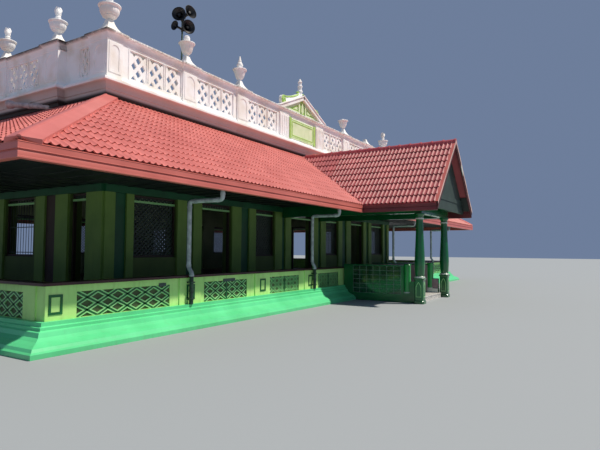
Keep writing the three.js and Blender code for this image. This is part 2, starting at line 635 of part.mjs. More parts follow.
// A block with the coping moulded round it, standing proud of the parapet
function pedestalBlock(map, u0, u1, v0, v1, clearance = 0) {
  const low = parapet.pedestalBottom - clearance;
  const steps = [[0, low], [0, parapet.copingBottom], ...copingSteps.slice(0, -1),
    [parapet.copingReach, parapet.top + clearance]];
  return loft(steps.map(([reach, z]) => {
    const r = reach + clearance;
    return [map(u0 - r, v0 - r, z), map(u1 + r, v0 - r, z), map(u1 + r, v1 + r, z), map(u0 - r, v1 + r, z)];
  }));
}

// Radius and height of each turned form, from the block upward
const urnForms = {
  cup: [[1.4, 0], [1.4, 50], [1.02, 110], [0.55, 210], [0.34, 310]],
  bulb: [[1.4, 0], [1.4, 50], [1.02, 110], [0.55, 210], [0.4, 310]],
};
const cupOver = [[0.64, 480], [0.8, 620], [1, 705], [1, 735], [0.36, 750], [0.26, 785]];
const bulbOver = [[0.62, 400], [0.7, 430], [0.85, 580], [1, 620], [1, 660], [0.3, 675], [0.28, 780]];
const urnTops = {
  knob: [[0.38, 860], [0.36, 920], [0, 980]],
  cone: [[0.44, 880], [0.38, 960], [0.2, 1030], [0, 1220]],
  cupBud: [[0.32, 890], [0, 1000]],
  bulbBud: [[0.34, 870], [0.26, 960], [0, 1060]],
  lid: [[0, 810]],
};

function urnAt(place, form, top, scale = 1) {
  const over = form === 'cup' ? cupOver : bulbOver;
  // Where the urn is lost, only its foot is left
  const above = top === 'lost' ? [[0, urn.footTop]] : [...over, ...urnTops[top]];
  const profile = [[0, -sunk], [urnForms[form][0][0] * urn.foot * scale, -sunk],
    ...urnForms[form].map(([share, z]) => [share * urn.foot * scale, z * scale]),
    ...above.map(([share, z]) => [share * urn.rim * scale, z * scale])];
  return lathe(profile, urn.sides, place.x, place.y, place.z);
}

const proudBy = parapet.pedestalRelief;
const urnLine = parapet.thickness / 2;
function parapetParts(map, pedestals, form, tops) {
  const blocks = pedestals.map(([a, b]) => pedestalBlock(map, a, b, -proudBy, parapet.thickness));
  const urns = pedestals.map(([a, b], i) => urnAt(map((a + b) / 2, urnLine, parapet.top), form, tops[i]));
  return [...blocks, ...urns];
}

function recesses(map, panels, face = 0) {
  return panels.map(([a, b]) => boxOn(map, a, b, face - 2 * proudBy, face + parapet.panelRecess,
    parapet.panelBottom, parapet.panelTop));
}

const hallLength = 2 * hallHalf;
const onHall = (list) => list.map(shifted(plan.sideVeranda));
const { cornerDepth, cornerWidth } = parapet;
const cornerBlock = (map, clearance) => pedestalBlock(map, -proudBy, cornerWidth, -proudBy, cornerDepth,
  clearance);
const cornerBlockEnd = (map, clearance) => pedestalBlock(map, hallLength - cornerWidth,
  hallLength + proudBy, -proudBy, cornerDepth, clearance);
const cornerUrn = (map, u) => urnAt(map(u, cornerWidth / 2, parapet.top), 'bulb', 'bulbBud',
  urn.cornerScale);

function frontParapet(map, from, to, mitre0, mitre1, parts, panels, corners) {
  const body = run(map, parapetProfile(), from, to, mitre0, mitre1);
  return cut(join(body, ...corners, ...parts), ...recesses(map, panels));
}
const frontLow = onHall(parapet.frontPedestals);
const frontPanels = onHall(parapet.frontPanels);
const toPediment = hallHalf - pediment.halfWidth - gap;
add('parapet_front_left', frontParapet(inner.front, gap, toPediment, 1, 0,
  parapetParts(inner.front, frontLow, 'cup', ['knob', 'cone']), frontPanels,
  [cornerBlock(inner.front, 0), cornerUrn(inner.front, cornerWidth / 2)]), finishes.white);
add('parapet_front_right', frontParapet(inner.front, hallLength - toPediment, hallLength - gap, 0, 1,
  parapetParts(inner.front, frontLow.map(mirrorIn(hallLength)), 'cup', ['lost', 'lid']),
  frontPanels.map(mirrorIn(hallLength)),
  [cornerBlockEnd(inner.front, 0), cornerUrn(inner.front, hallLength - cornerWidth / 2)]), finishes.white);
const backPedestals = bothHalves(onHall(parapet.backPedestals), hallLength);
add('parapet_back', frontParapet(inner.back, gap, hallLength - gap, 1, 1,
  parapetParts(inner.back, backPedestals, 'cup', backPedestals.map(() => 'cupBud')),
  bothHalves(onHall(parapet.backPanels), hallLength),
  [cornerBlock(inner.back, 0), cornerBlockEnd(inner.back, 0), cornerUrn(inner.back, cornerWidth / 2),
    cornerUrn(inner.back, hallLength - cornerWidth / 2)]), finishes.white);

function sideParapet(map) {
  const reach = parapet.sideBreakReach;
  const broken = (u, v, z) => map(u, v - reach, z);
  const from = parapet.sideBreak - hallFront;
  const body = run(map, parapetProfile(), gap, hallDepth - gap, 1, 1);
  const centre = run(broken, parapetProfile(), from, hallDepth - from, 1, 1);
  const returns = [(u, v, z) => broken(from + v, u, z), (u, v, z) => broken(hallDepth - from - v, u, z)]
    .map((turned) => run(turned, parapetProfile(), 0, reach + sunk, 1, 0));
  const pedestals = bothHalves(parapet.sidePedestals.map(shifted(hallFront)), hallDepth);
  const [endPanel, sidePanel] = parapet.sidePanels.map(shifted(hallFront));
  const middle = pedestals[1][1] + parapet.centrePanelMargin;
  const centrePanel = [middle, hallDepth - middle];
  const parts = parapetParts(broken, pedestals, 'bulb', pedestals.map(() => 'bulbBud'));
  const onFace = recesses(map, bothHalves([endPanel], hallDepth));
  const onBreak = recesses(broken, [...bothHalves([sidePanel], hallDepth), centrePanel]);
  return cut(join(body, centre, ...returns, ...parts), ...onFace, ...onBreak);
}
const cornerTools = [cornerBlock(inner.front, gap), cornerBlockEnd(inner.front, gap),
  cornerBlock(inner.back, gap), cornerBlockEnd(inner.back, gap)];
add('parapet_left', cut(sideParapet(inner.left), ...cornerTools, endSlope(-1, gap)), finishes.white);
add('parapet_right', cut(sideParapet(inner.right), ...cornerTools, endSlope(1, gap)), finishes.white);

// Centre of the front parapet, with a bare plate, a pediment, scrolls and a finial
function scroll(side) {
  const { apex, halfWidth, scrollFoot, scrollTop, scrollRadius, rakeDepth, scrollInner } = pediment;
  const rake = (x) => apex - ((apex - parapet.top) * Math.abs(x)) / halfWidth - rakeDepth / 2;
  const centreX = scrollFoot - scrollRadius;
  const centre = { x: centreX, z: rake(centreX) + rakeDepth + pediment.scrollLift };
  const shape = new THREE.Path();
  shape.moveTo(scrollInner, rake(scrollInner));
  shape.lineTo(scrollFoot, rake(scrollFoot));
  shape.absarc(centre.x, centre.z, scrollRadius, ...pediment.scrollArc);
  shape.bezierCurveTo(centre.x - pediment.shoulderReach, centre.z + pediment.shoulderRise,
    pediment.hollowReach, scrollTop - pediment.hollowDrop, scrollInner, scrollTop);
  const outline = shape.getPoints(4).map(({ x, y }) => [side * x, y]);
  const middle = hallFront + urnLine;
  return uprightPlate(outline, middle - pediment.scrollThickness / 2, middle + pediment.scrollThickness / 2);
}

function entrancePediment() {
  const { halfWidth, apex, rakeDepth, rakeReach, rakeRise, plateHalf, plateRelief } = pediment;
  const back = hallFront + parapet.thickness;
  const body = run(inner.front, parapetProfile(), hallHalf - halfWidth, hallHalf + halfWidth);
  const piers = [-1, 1].map((side) => box(side * pediment.pierInner, side * pediment.pierOuter,
    hallFront - proudBy, back, parapet.pedestalBottom, parapet.copingBottom + pediment.pierRise));
  const plate = box(-plateHalf, plateHalf, hallFront - plateRelief, back, pediment.plateBottom,
    pediment.plateTop);
  const foot = parapet.top - pediment.overlap;
  const tympanum = uprightPlate([[-halfWidth, foot], [halfWidth, foot], [0, apex - pediment.overlap]],
    hallFront, back);
  const slope = (apex - parapet.top) / halfWidth;
  const rakes = [-1, 1].map((side) => uprightPlate([
    [side * halfWidth, foot], [side * halfWidth, parapet.top + rakeRise], [-side * rakeRise, apex + rakeRise],
    [-side * rakeRise, apex - rakeDepth], [side * (halfWidth - rakeDepth / slope), foot],
  ], hallFront - rakeReach, back));
  const finial = lathe([[0, finialProfile[0][1]], ...finialProfile], pediment.finialSides, 0,
    hallFront + urnLine, apex);
  return join(body, ...piers, plate, tympanum, ...rakes, scroll(-1), scroll(1), finial);
}
add('entrance_pediment', entrancePediment(), finishes.white);

// Rainwater pipes on the front
function rainPipe(x) {
  const { radius, sides, outletY, run: runHeight, upperY, jogTop, jogBottom, wallY, bend } = downpipe;
  const outlet = frontHeight(0, outletY - radius) - roof.thickness - 2 * gap;
  const route = [[outletY, outlet], [outletY, runHeight], [upperY, runHeight], [upperY, jogTop],
    [wallY, jogBottom], [wallY, base.height + gap]].map(([y, z]) => new THREE.Vector2(y, z));
  const path = new THREE.Path();
  path.moveTo(route[0].x, route[0].y);
  for (let i = 1; i < route.length - 1; i += 1) {
    const [before, corner, after] = route.slice(i - 1, i + 2);
    const toward = (end) => {
      const way = end.clone().sub(corner);
      return corner.clone().add(way.setLength(Math.min(bend, 0.45 * way.length())));
    };
    const [entry, leave] = [toward(before), toward(after)];
    path.lineTo(entry.x, entry.y);
    path.quadraticCurveTo(corner.x, corner.y, leave.x, leave.y);
  }
  const foot = route[route.length - 1];
  path.lineTo(foot.x, foot.y);
  const points = path.getPoints(4);
  return loft(points.map((point, i) => {
    const way = points[Math.min(i + 1, points.length - 1)].clone().sub(points[Math.max(i - 1, 0)]);
    const across = new THREE.Vector2(-way.y, way.x).normalize();
    return Array.from({ length: sides }, (_, k) => {
      const angle = (2 * Math.PI * k) / sides;
      const reach = radius * Math.sin(angle);
      return new THREE.Vector3(x + radius * Math.cos(angle), point.x + reach * across.x,
        point.y + reach * across.y);
    });
  }));
}
for (const side of [-1, 1]) {
  downpipe.stations.forEach((station, i) => {
    const name = `${side < 0 ? 'left' : 'right'}_${i + 1}`;
    add(`downpipe_${name}`, rainPipe(side * (halfLength - station)), finishes.pipe);
  });
}

// Loudspeaker horns on a thin mast that stands on the hall roof
function horn([heading, z, tilt, scale]) {
  const { throatRadius, hornLength, hornRadius, hornSheet } = mast;
  const { neckRadius, neckAt, flareShare, flareAt, innerThroatAt, plugAt } = mast.hornProfile;
  const flareRadius = hornRadius * flareShare;
  const profile = [[0, 0], [throatRadius, 0], [neckRadius, hornLength * neckAt],
    [flareRadius, hornLength * flareAt], [hornRadius, hornLength], [hornRadius - hornSheet, hornLength],
    [flareRadius - hornSheet, hornLength * flareAt], [throatRadius, hornLength * innerThroatAt],
    [0, hornLength * plugAt]];
  const geometry = new THREE.LatheGeometry(profile.map(([r, h]) => new THREE.Vector2(r, h)), mast.sides);
  return geometry.rotateZ(-Math.PI / 2).scale(scale, scale, scale).translate(mast.radius / 2, 0, 0)
    .rotateY(THREE.MathUtils.degToRad(-tilt)).rotateZ(THREE.MathUtils.degToRad(heading))
    .translate(mast.x, mast.y, z);
}
const mastFoot = hall.wallTop + hall.roofThickness + gap;
const pole = new THREE.CylinderGeometry(mast.radius, mast.radius, mast.top - mastFoot, mast.sides);
pole.rotateX(Math.PI / 2).translate(mast.x, mast.y, (mast.top + mastFoot) / 2);
add('loudspeaker_mast', join(pole, ...mast.horns.map(horn)), finishes.speaker);

export default building;
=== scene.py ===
from math import ceil, cos, hypot, pi, radians, sin

import bmesh
import bpy
from mathutils import Matrix, Vector
from mathutils.geometry import delaunay_2d_cdt


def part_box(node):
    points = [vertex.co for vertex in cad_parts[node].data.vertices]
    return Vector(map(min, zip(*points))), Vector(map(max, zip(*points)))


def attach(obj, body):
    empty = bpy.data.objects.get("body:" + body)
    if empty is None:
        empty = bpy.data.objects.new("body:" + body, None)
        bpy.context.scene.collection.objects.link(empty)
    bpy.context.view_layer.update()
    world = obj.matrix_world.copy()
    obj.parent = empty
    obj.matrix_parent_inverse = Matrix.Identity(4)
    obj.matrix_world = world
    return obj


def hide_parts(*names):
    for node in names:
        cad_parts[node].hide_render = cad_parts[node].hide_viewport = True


# Mosque building: painted plaster hall, tiled veranda roof and pierced white parapet, in metres
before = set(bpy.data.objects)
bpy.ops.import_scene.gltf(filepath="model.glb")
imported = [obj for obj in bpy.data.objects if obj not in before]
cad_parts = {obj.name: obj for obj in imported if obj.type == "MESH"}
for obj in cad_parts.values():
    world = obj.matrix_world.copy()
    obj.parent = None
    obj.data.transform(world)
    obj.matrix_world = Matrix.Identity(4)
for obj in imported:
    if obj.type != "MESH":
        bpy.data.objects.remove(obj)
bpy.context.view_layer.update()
scene = bpy.context.scene
print("frame loaded,", len(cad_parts), "nodes")


# Values of a look by their names
def pick(look, *keys):
    return [look[key] for key in keys]


# Small tools for nodes
def linear(hexColour):
    channels = []
    for start in (1, 3, 5):
        value = int(hexColour[start:start + 2], 16) / 255
        channels.append(value / 12.92 if value <= 0.04045 else ((value + 0.055) / 1.055) ** 2.4)
    return (*channels, 1.0)


# A node gives its first live output, a hex colour is made linear
def feed(node, key, value):
    if isinstance(value, bpy.types.Node):
        value = next(socket for socket in value.outputs if socket.enabled)
    if isinstance(value, str) and value.startswith("#"):
        value = linear(value)
    if isinstance(value, bpy.types.NodeSocket):
        node.id_data.links.new(value, node.inputs[key])
    elif value is not None:
        node.inputs[key].default_value = value


def addNode(tree, kind, inputs=(), **settings):
    node = tree.nodes.new(kind)
    for key, value in settings.items():
        setattr(node, key, value)
    for key, value in inputs.items() if isinstance(inputs, dict) else enumerate(inputs):
        feed(node, key, value)
    return node


def perMetre(millimetres):
    return 1000 / millimetres  # a pattern of this size on coordinates in metres


def newMaterial(name, roughness, coat=0.0, coatRoughness=0.2):
    material = bpy.data.materials.new(name)
    material.use_nodes = True
    tree = material.node_tree
    tree.nodes.clear()
    shader = addNode(tree, "ShaderNodeBsdfPrincipled", {
        "Roughness": roughness, "Coat Weight": coat, "Coat Roughness": coatRoughness})
    addNode(tree, "ShaderNodeOutputMaterial", [shader])
    coords = addNode(tree, "ShaderNodeTexCoord").outputs["Object"]
    return material, tree, shader, coords


def ramped(tree, factor, *stops):
    ramp = addNode(tree, "ShaderNodeValToRGB", [factor])
    elements = ramp.color_ramp.elements
    while len(elements) < len(stops):
        elements.new(0.5)
    for element, (position, colour) in zip(elements, stops):
        element.position = position
        element.color = linear(colour)
    return ramp


def mottled(tree, coords, millimetres, detail, *stops):
    noise = addNode(tree, "ShaderNodeTexNoise", {
        "Vector": coords, "Scale": perMetre(millimetres), "Detail": detail})
    return noise, ramped(tree, noise, *stops)


def roughen(tree, shader, coords, millimetres, detail, strength, distance):
    grain = addNode(tree, "ShaderNodeTexNoise", {
        "Vector": coords, "Scale": perMetre(millimetres), "Detail": detail})
    feed(shader, "Normal", addNode(tree, "ShaderNodeBump", {
        "Height": grain, "Strength": strength, "Distance": distance}))


def product(tree, result, *factors):
    for factor in factors:
        result = addNode(tree, "ShaderNodeMath", [result, factor], operation="MULTIPLY")
    return result


def layered(tree, colour, *layers):
    for amount, over in layers:
        colour = addNode(tree, "ShaderNodeMix", {0: amount, 6: colour, 7: over}, data_type="RGBA")
    return colour


# Materials
def paintedPlaster(name, ownLook):
    look = {**plasterLook, **ownLook}
    base, worn, soil = look["colours"]
    material, tree, shader, coords = newMaterial(name, look["roughness"], look["coat"])
    _, faded = mottled(tree, coords, look["fadeMm"], 5.0, (0.32, worn), (0.62, base))
    stretch = addNode(tree, "ShaderNodeMapping", {"Vector": coords, "Scale": (1.0, 1.0, 0.12)})
    streak, streakRamp = mottled(tree, stretch, look["streakMm"], 6.0, (0.5, "#000000"), (0.72, "#FFFFFF"))
    height = addNode(tree, "ShaderNodeSeparateXYZ", [coords]).outputs["Z"]
    splash = addNode(tree, "ShaderNodeMapRange", {
        "Value": height, "From Min": look["splashTop"], "From Max": look["splashTop"] - look["splashRise"],
        "To Max": look["splash"]})
    feed(shader, "Base Color", layered(tree, faded, (product(tree, streakRamp, look["streak"]), soil),
                                       (product(tree, splash, streak), soil)))
    roughen(tree, shader, coords, look["trowelMm"], 4.0, look["bump"], 0.01)
    return material


# Colours are base, worn and soil
plasterLook = {"roughness": 0.6, "coat": 0.0, "fadeMm": 500, "streak": 0.15, "streakMm": 90, "splash": 0.45,
               "splashTop": 0.6, "splashRise": 0.25, "trowelMm": 120, "bump": 0.2}
paintLooks = {
    # Gloss enamel over moulded cement: bright, a soft shine, rain splash near the ground
    "mintEnamelPlinth": {"colours": ("#62DC98", "#54CC88", "#6E7B5A"), "roughness": 0.42, "coat": 0.2,
                         "fadeMm": 900, "streak": 0.1, "splashTop": 0.14, "trowelMm": 160, "bump": 0.25},
    # Wall emulsion on smooth plaster: matt, slightly chalky
    "yellowGreenEmulsion": {"colours": ("#C2F292", "#B2E584", "#5F7A3E"), "fadeMm": 700, "streak": 0.16,
                            "splashTop": 0.56},
    "oliveEmulsion": {"colours": ("#5B7436", "#4E672F", "#3A4A24"), "roughness": 0.65, "fadeMm": 700,
                      "streak": 0.18},
    "lightGreenEmulsion": {"colours": ("#79A04A", "#6B9342", "#4C6630"), "fadeMm": 700},
    "darkGreenEmulsion": {"colours": ("#12603A", "#0E5231", "#0B3A24"), "roughness": 0.5},
    "brownEmulsion": {"colours": ("#4A3A34", "#3F312C", "#2A211E"), "streak": 0.12},
    # Oil paint on cast lattice: darker, thick, a little glossy
    "latticeGreenEnamel": {"colours": ("#0A6430", "#085629", "#0A4425"), "roughness": 0.4, "fadeMm": 300,
                           "splashTop": 0.56, "trowelMm": 60, "bump": 0.25},
    "paleLatticeEnamel": {"colours": ("#A2E298", "#8DD486", "#4E8A4A"), "roughness": 0.42, "fadeMm": 300,
                          "streak": 0.18, "splashTop": 0.56, "trowelMm": 60, "bump": 0.25},
    "latticeGroundPaint": {"colours": ("#51603A", "#455332", "#2F3B23"), "roughness": 0.7, "fadeMm": 200,
                           "streak": 0.3, "trowelMm": 60, "bump": 0.3},
    # High gloss enamel on rendered columns: deep green with clear highlights
    "columnEnamel": {"colours": ("#046834", "#045B2D", "#03341D"), "roughness": 0.22, "coat": 0.6,
                     "fadeMm": 600, "streak": 0.08, "splashTop": 0.3, "bump": 0.12},
    "brightGreenEnamel": {"colours": ("#1FA04A", "#188F40", "#0E5A2A"), "roughness": 0.25, "coat": 0.5,
                          "fadeMm": 400, "streak": 0.08, "splashTop": 0.0, "trowelMm": 90, "bump": 0.12},
    "whiteEnamelBand": {"colours": ("#DCE6DA", "#C8D4C6", "#7E8C80"), "roughness": 0.35, "coat": 0.3,
                        "fadeMm": 300, "splashTop": 0.0, "trowelMm": 60, "bump": 0.15},
    # Distemper brushed on plaster: dry and powdery, uneven
    # Gable paint darkened to near black green: painted shade standing in for the shadow that falls on the
    # porch gable
    "gableShadePaint": {"colours": ("#33453F", "#2B3B36", "#1F2B27"), "streak": 0.2, "splashTop": 0.0},
    "limeGreenDistemper": {"colours": ("#B6DA74", "#A3C962", "#7A9448"), "roughness": 0.7, "fadeMm": 300,
                           "streak": 0.25, "splashTop": 0.0, "trowelMm": 80, "bump": 0.3},
    "paleLimeDistemper": {"colours": ("#E4EFC6", "#D3E3B2", "#8FA26A"), "roughness": 0.7, "fadeMm": 300,
                          "streak": 0.12, "splashTop": 0.0, "trowelMm": 80, "bump": 0.3},
    "interiorDistemper": {"colours": ("#B9C7A4", "#A8B893", "#7A8868"), "roughness": 0.75, "fadeMm": 900,
                          "streak": 0.1, "trowelMm": 150, "bump": 0.15},
}
paint = {name: paintedPlaster(name, look) for name, look in paintLooks.items()}


def limewash():
    # Limewash on cement plaster: chalky white, yellowed patches, black mould under rain edges; painted shade
    # under the cornice and a near black painted shadow where the wall meets the roof tiles
    # The under colour is painted shade for the cornice's underside; the near black colour is a painted shadow
    # in the gap above the roof tiles
    look = {"white": "#FCFBFB", "cream": "#EFE9E1", "mould": "#4A443E", "under": "#B5A39C", "gapShadow": "#1C1614",
            "patchMm": 650, "streakMm": 70, "coping": 7.35, "cornice": 6.05, "gapShadowTop": 5.76,
            "leftFace": -9.62}
    material, tree, shader, coords = newMaterial("weatheredLimewash", 0.82)
    patch, aged = mottled(tree, coords, look["patchMm"], 6.0, (0.36, look["cream"]), (0.55, look["white"]))
    stretch = addNode(tree, "ShaderNodeMapping", {"Vector": coords, "Scale": (1.0, 1.0, 0.16)})
    streak = addNode(tree, "ShaderNodeTexNoise", {
        "Vector": stretch, "Scale": perMetre(look["streakMm"]), "Detail": 7.0})
    position = addNode(tree, "ShaderNodeSeparateXYZ", [coords]).outputs
    top, nose, gapShadow, left = pick(look, "coping", "cornice", "gapShadowTop", "leftFace")
    # Zones by height, and the left side, which lies in shade, where the edge of the coping is darkened near
    # black in patches
    zones = {"under": ("Z", top - 0.09, top - 0.045, 1.0), "over": ("Z", top + 0.012, top + 0.002, 1.0),
             "below": ("Z", nose - 0.05, nose - 0.07, 0.75), "gapShadow": ("Z", gapShadow, gapShadow - 0.06, 0.93),
             "shaded": ("X", left + 0.15, left, 1.0), "edge": ("Z", top - 0.09, top - 0.03, 1.0)}
    zone = {}
    for key, (axis, start, end, most) in zones.items():
        zone[key] = addNode(tree, "ShaderNodeMapRange", {
            "Value": position[axis], "From Min": start, "From Max": end, "To Max": most})
    wet = product(tree, streak, zone["under"], zone["over"])
    mould = addNode(tree, "ShaderNodeMapRange", {
        "Value": wet, "From Min": 0.32, "From Max": 0.7, "To Max": 0.6})
    grown = addNode(tree, "ShaderNodeMapRange", {
        "Value": patch, "From Min": 0.3, "From Max": 0.5, "To Max": 0.88})
    black = product(tree, zone["shaded"], zone["edge"], zone["over"], grown)
    # Layers: mould streaks, painted shade under the cornice, the painted shadow in the gap above the roof,
    # and the darkened coping edge on the left side
    feed(shader, "Base Color", layered(tree, aged, (mould, look["mould"]), (zone["below"], look["under"]),
                                       (zone["gapShadow"], look["gapShadow"]), (black, look["mould"])))
    roughen(tree, shader, coords, 45, 6.0, 0.35, 0.008)
    return material


def coatedSteel(name, look):
    # Coil-coated steel pressed into tiles or folded: even colour, satin, faded and dusty in patches
    material, tree, shader, coords = newMaterial(name, look["roughness"], look["coat"], 0.25)
    _, faded = mottled(tree, coords, 800, 6.0, (0.35, look["dull"]), (0.62, look["base"]))
    if "deep" in look:
        tint = addNode(tree, "ShaderNodeAttribute", attribute_name="tint")
        faded = layered(tree, faded, (product(tree, tint.outputs["Fac"], look["tint"]), look["deep"]))
    feed(shader, "Base Color", faded)
    roughen(tree, shader, coords, look["rippleMm"], 3.0, 0.15, 0.01)
    return material


def oxideCement(name, base, dark, roughness):
    # Cement floated with iron oxide and polished: dark, mottled, a low shine
    material, tree, shader, coords = newMaterial(name, roughness)
    feed(shader, "Base Color", mottled(tree, coords, 350, 8.0, (0.35, dark), (0.65, base))[1])
    roughen(tree, shader, coords, 90, 4.0, 0.12, 0.006)
    return material


def terrazzo():
    # Ground terrazzo: pale cement with grey and dark marble chips, drawn at 25 mm so that they show
    material, tree, shader, coords = newMaterial("groundTerrazzo", 0.35)
    chips = addNode(tree, "ShaderNodeTexVoronoi", {"Vector": coords, "Scale": perMetre(25)})
    feed(shader, "Base Color", ramped(
        tree, chips.outputs["Color"], (0.2, "#8F8C88"), (0.45, "#CFCBC6"), (0.8, "#DAD7D2")))
    return material


def glazedCeramic():
    # Glazed wall tiles: deep green glass over clay, very smooth, each tile a little different
    material, tree, shader, coords = newMaterial("glazedGreenCeramic", 0.12, 0.5, 0.05)
    feed(shader, "Base Color", mottled(tree, coords, 180, 4.0, (0.35, "#042A18"), (0.65, "#084829"))[1])
    return material


def moulded(name, base, dull, roughness):
    # Extruded PVC or enamelled metal: smooth, dusty in patches
    material, tree, shader, coords = newMaterial(name, roughness)
    dust, faded = mottled(tree, coords, 140, 5.0, (0.35, dull), (0.6, base))
    feed(shader, "Base Color", faded)
    feed(shader, "Roughness", addNode(tree, "ShaderNodeMapRange", {
        "Value": dust, "To Min": roughness + 0.15, "To Max": roughness}))
    return material


def paintedTimber(name, base, dark):
    # Sawn boards under old oil paint, with long grain along X
    material, tree, shader, coords = newMaterial(name, 0.55)
    stretch = addNode(tree, "ShaderNodeMapping", {"Vector": coords, "Scale": (0.08, 1.0, 1.0)})
    feed(shader, "Base Color", mottled(tree, stretch, 30, 6.0, (0.35, dark), (0.65, base))[1])
    roughen(tree, shader, stretch, 30, 6.0, 0.3, 0.004)
    return material


white = limewash()
steelLooks = {
    "salmonTileSheet": {"base": "#E0857D", "dull": "#D2776F", "deep": "#B55F5A", "tint": 0.35,
                        "roughness": 0.5, "coat": 0.15, "rippleMm": 60},
    "porchTileSheet": {"base": "#B4585A", "dull": "#A54E51", "deep": "#82383E", "tint": 0.4, "roughness": 0.6,
                       "coat": 0.03, "rippleMm": 60},
    "hipFlashing": {"base": "#CC716B", "dull": "#BF6660", "roughness": 0.5, "coat": 0.1, "rippleMm": 420},
    "darkEavesSheet": {"base": "#7C3639", "dull": "#6A2C30", "roughness": 0.45, "coat": 0.15,
                       "rippleMm": 300},
    "salmonFlashing": {"base": "#CD7066", "dull": "#C0655B", "roughness": 0.42, "coat": 0.2, "rippleMm": 420},
    "redRidgeSheet": {"base": "#B85458", "dull": "#A5494E", "roughness": 0.4, "coat": 0.2, "rippleMm": 300},
    # The pale edge colour is a painted highlight for the sunlit turned-down front edge of the flashing
    "paleFlashingEdge": {"base": "#E3C4B8", "dull": "#CFAFA4", "roughness": 0.5, "coat": 0.1,
                         "rippleMm": 300},
}
steel = {name: coatedSteel(name, look) for name, look in steelLooks.items()}
copingOxide = oxideCement("maroonOxideCement", "#3E1016", "#280A0E", 0.42)
floorOxide = oxideCement("redOxideFloor", "#6A2320", "#4E1816", 0.3)
roofScreed = oxideCement("weatheredRoofScreed", "#A19C92", "#6F6B63", 0.9)
pinkCement = oxideCement("pinkGreyPolishedCement", "#9A8A8E", "#7C6D72", 0.32)
stepTerrazzo = terrazzo()
tileGlaze = glazedCeramic()
paleGrout = moulded("paleCementGrout", "#8FA89A", "#6E8779", 0.8)
agedPipe = moulded("agedSpoutPvc", "#C9BCBA", "#9F9392", 0.5)
greyPipe = moulded("greyPvcPipe", "#B9C4C6", "#8E9A9C", 0.38)
darkPipe = moulded("paintedCastIronPipe", "#1D3B30", "#12261F", 0.4)
hornBlack = moulded("satinBlackEnamel", "#1B1D22", "#101114", 0.38)
mastPaint = moulded("greyGreenMastPaint", "#5E7268", "#46574E", 0.5)
signGrey = moulded("bareEnamelPlate", "#3F5350", "#30403E", 0.4)
grilleEnamel = moulded("agedIronEnamel", "#2C4238", "#1B2A24", 0.45)
darkTimber = paintedTimber("darkPaintedTimber", "#20302C", "#131E1B")
frameTimber = paintedTimber("brownPaintedTimber", "#3B2A24", "#261A16")
vergeMaroon = paintedTimber("maroonPaintedTimber", "#5A1F22", "#431619")
print("materials made")


# Lines of the building, read from the frame
lines = {"eaveOverhang": 1.21, "frontVeranda": 2.6, "sideVeranda": 3.1, "roofFoot": 3.25, "roofTop": 5.6,
         "wallThickness": 0.35, "porchEave": 2.29}
eaveLow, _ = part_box("eaves_front_left")
_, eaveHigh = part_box("eaves_back")
eaveRect = (eaveLow.x, eaveLow.y, -eaveLow.x, eaveHigh.y)


def insetRect(rect, x, y):
    return (rect[0] + x, rect[1] + y, rect[2] - x, rect[3] - y)


wallRect = insetRect(eaveRect, lines["eaveOverhang"], lines["eaveOverhang"])
hallRect = insetRect(wallRect, lines["sideVeranda"], lines["frontVeranda"])
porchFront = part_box("porch_verge_boards")[0].y
buildingFront = wallRect[1]
allSides = ("front", "back", "left", "right")


# u runs along a side, v inwards from its outer face
def sideMap(rect, side, proud=0.0):
    x0, y0, x1, y1 = rect
    return {
        "front": lambda u, v, z: Vector((x0 + u, y0 + v - proud, z)),
        "back": lambda u, v, z: Vector((x0 + u, y1 - v + proud, z)),
        "left": lambda u, v, z: Vector((x0 + v - proud, y0 + u, z)),
        "right": lambda u, v, z: Vector((x1 - v + proud, y0 + u, z)),
    }[side]


# The same place for shapes drawn upright on a face, as (x, z) with a depth
def onFace(place):
    return lambda x, z, depth: place(x, depth, z)


def sideLength(rect, side):
    return rect[2] - rect[0] if side in ("front", "back") else rect[3] - rect[1]


def flipped(spans, length):
    return [(length - b, length - a) for a, b in spans]


def bothHalves(spans, length):
    return [*spans, *flipped(spans, length)]


def shifted(spans, offset):
    return [(a - offset, b - offset) for a, b in spans]


def rectangle(x0, x1, z0, z1):
    return [(x0, z0), (x1, z0), (x1, z1), (x0, z1)]


# Closed shapes added to a bmesh
def addLoft(bm, rings, material=0):
    rows = [[bm.verts.new(point) for point in ring] for ring in rings]
    count = len(rings[0])
    faces = [bm.faces.new(list(reversed(rows[0]))), bm.faces.new(rows[-1])]
    for low, high in zip(rows, rows[1:]):
        for i in range(count):
            j = (i + 1) % count
            faces.append(bm.faces.new((low[i], low[j], high[j], high[i])))
    for face in faces:
        face.material_index = material


def addSlab(bm, toWorld, outline, depth0, depth1, material=0):
    addLoft(bm, [[toWorld(x, z, depth) for x, z in outline] for depth in (depth0, depth1)], material)


def addBox(bm, place, u0, u1, v0, v1, z0, z1, material=0):
    addSlab(bm, place, rectangle(u0, u1, v0, v1), z0, z1, material)


def addRun(bm, place, profile, u0, u1, mitre0=0.0, mitre1=0.0, material=0):
    start = [place(u0 + mitre0 * v, v, z) for v, z in profile]
    end = [place(u1 - mitre1 * v, v, z) for v, z in profile]
    addLoft(bm, [start, end], material)


def addLathe(bm, profile, centre, segments=24, material=0):
    rings = []
    for radius, z in profile:
        count = 1 if radius == 0 else segments
        angles = [2 * pi * i / segments for i in range(count)]
        rings.append([bm.verts.new(centre + Vector((radius * cos(angle), radius * sin(angle), z)))
                      for angle in angles])
    for low, high in zip(rings, rings[1:]):
        for i in range(segments):
            j = (i + 1) % segments
            loop = [low[i % len(low)], low[j % len(low)], high[j % len(high)], high[i % len(high)]]
            corners = list(dict.fromkeys(loop))
            if len(corners) > 2:
                bm.faces.new(corners).material_index = material


def insideLoop(point, loop):
    inside = False
    for (ax, ay), (bx, by) in zip(loop, [*loop[1:], loop[0]]):
        if (ay > point.y) != (by > point.y) and point.x < ax + (point.y - ay) * (bx - ax) / (by - ay):
            inside = not inside
    return inside


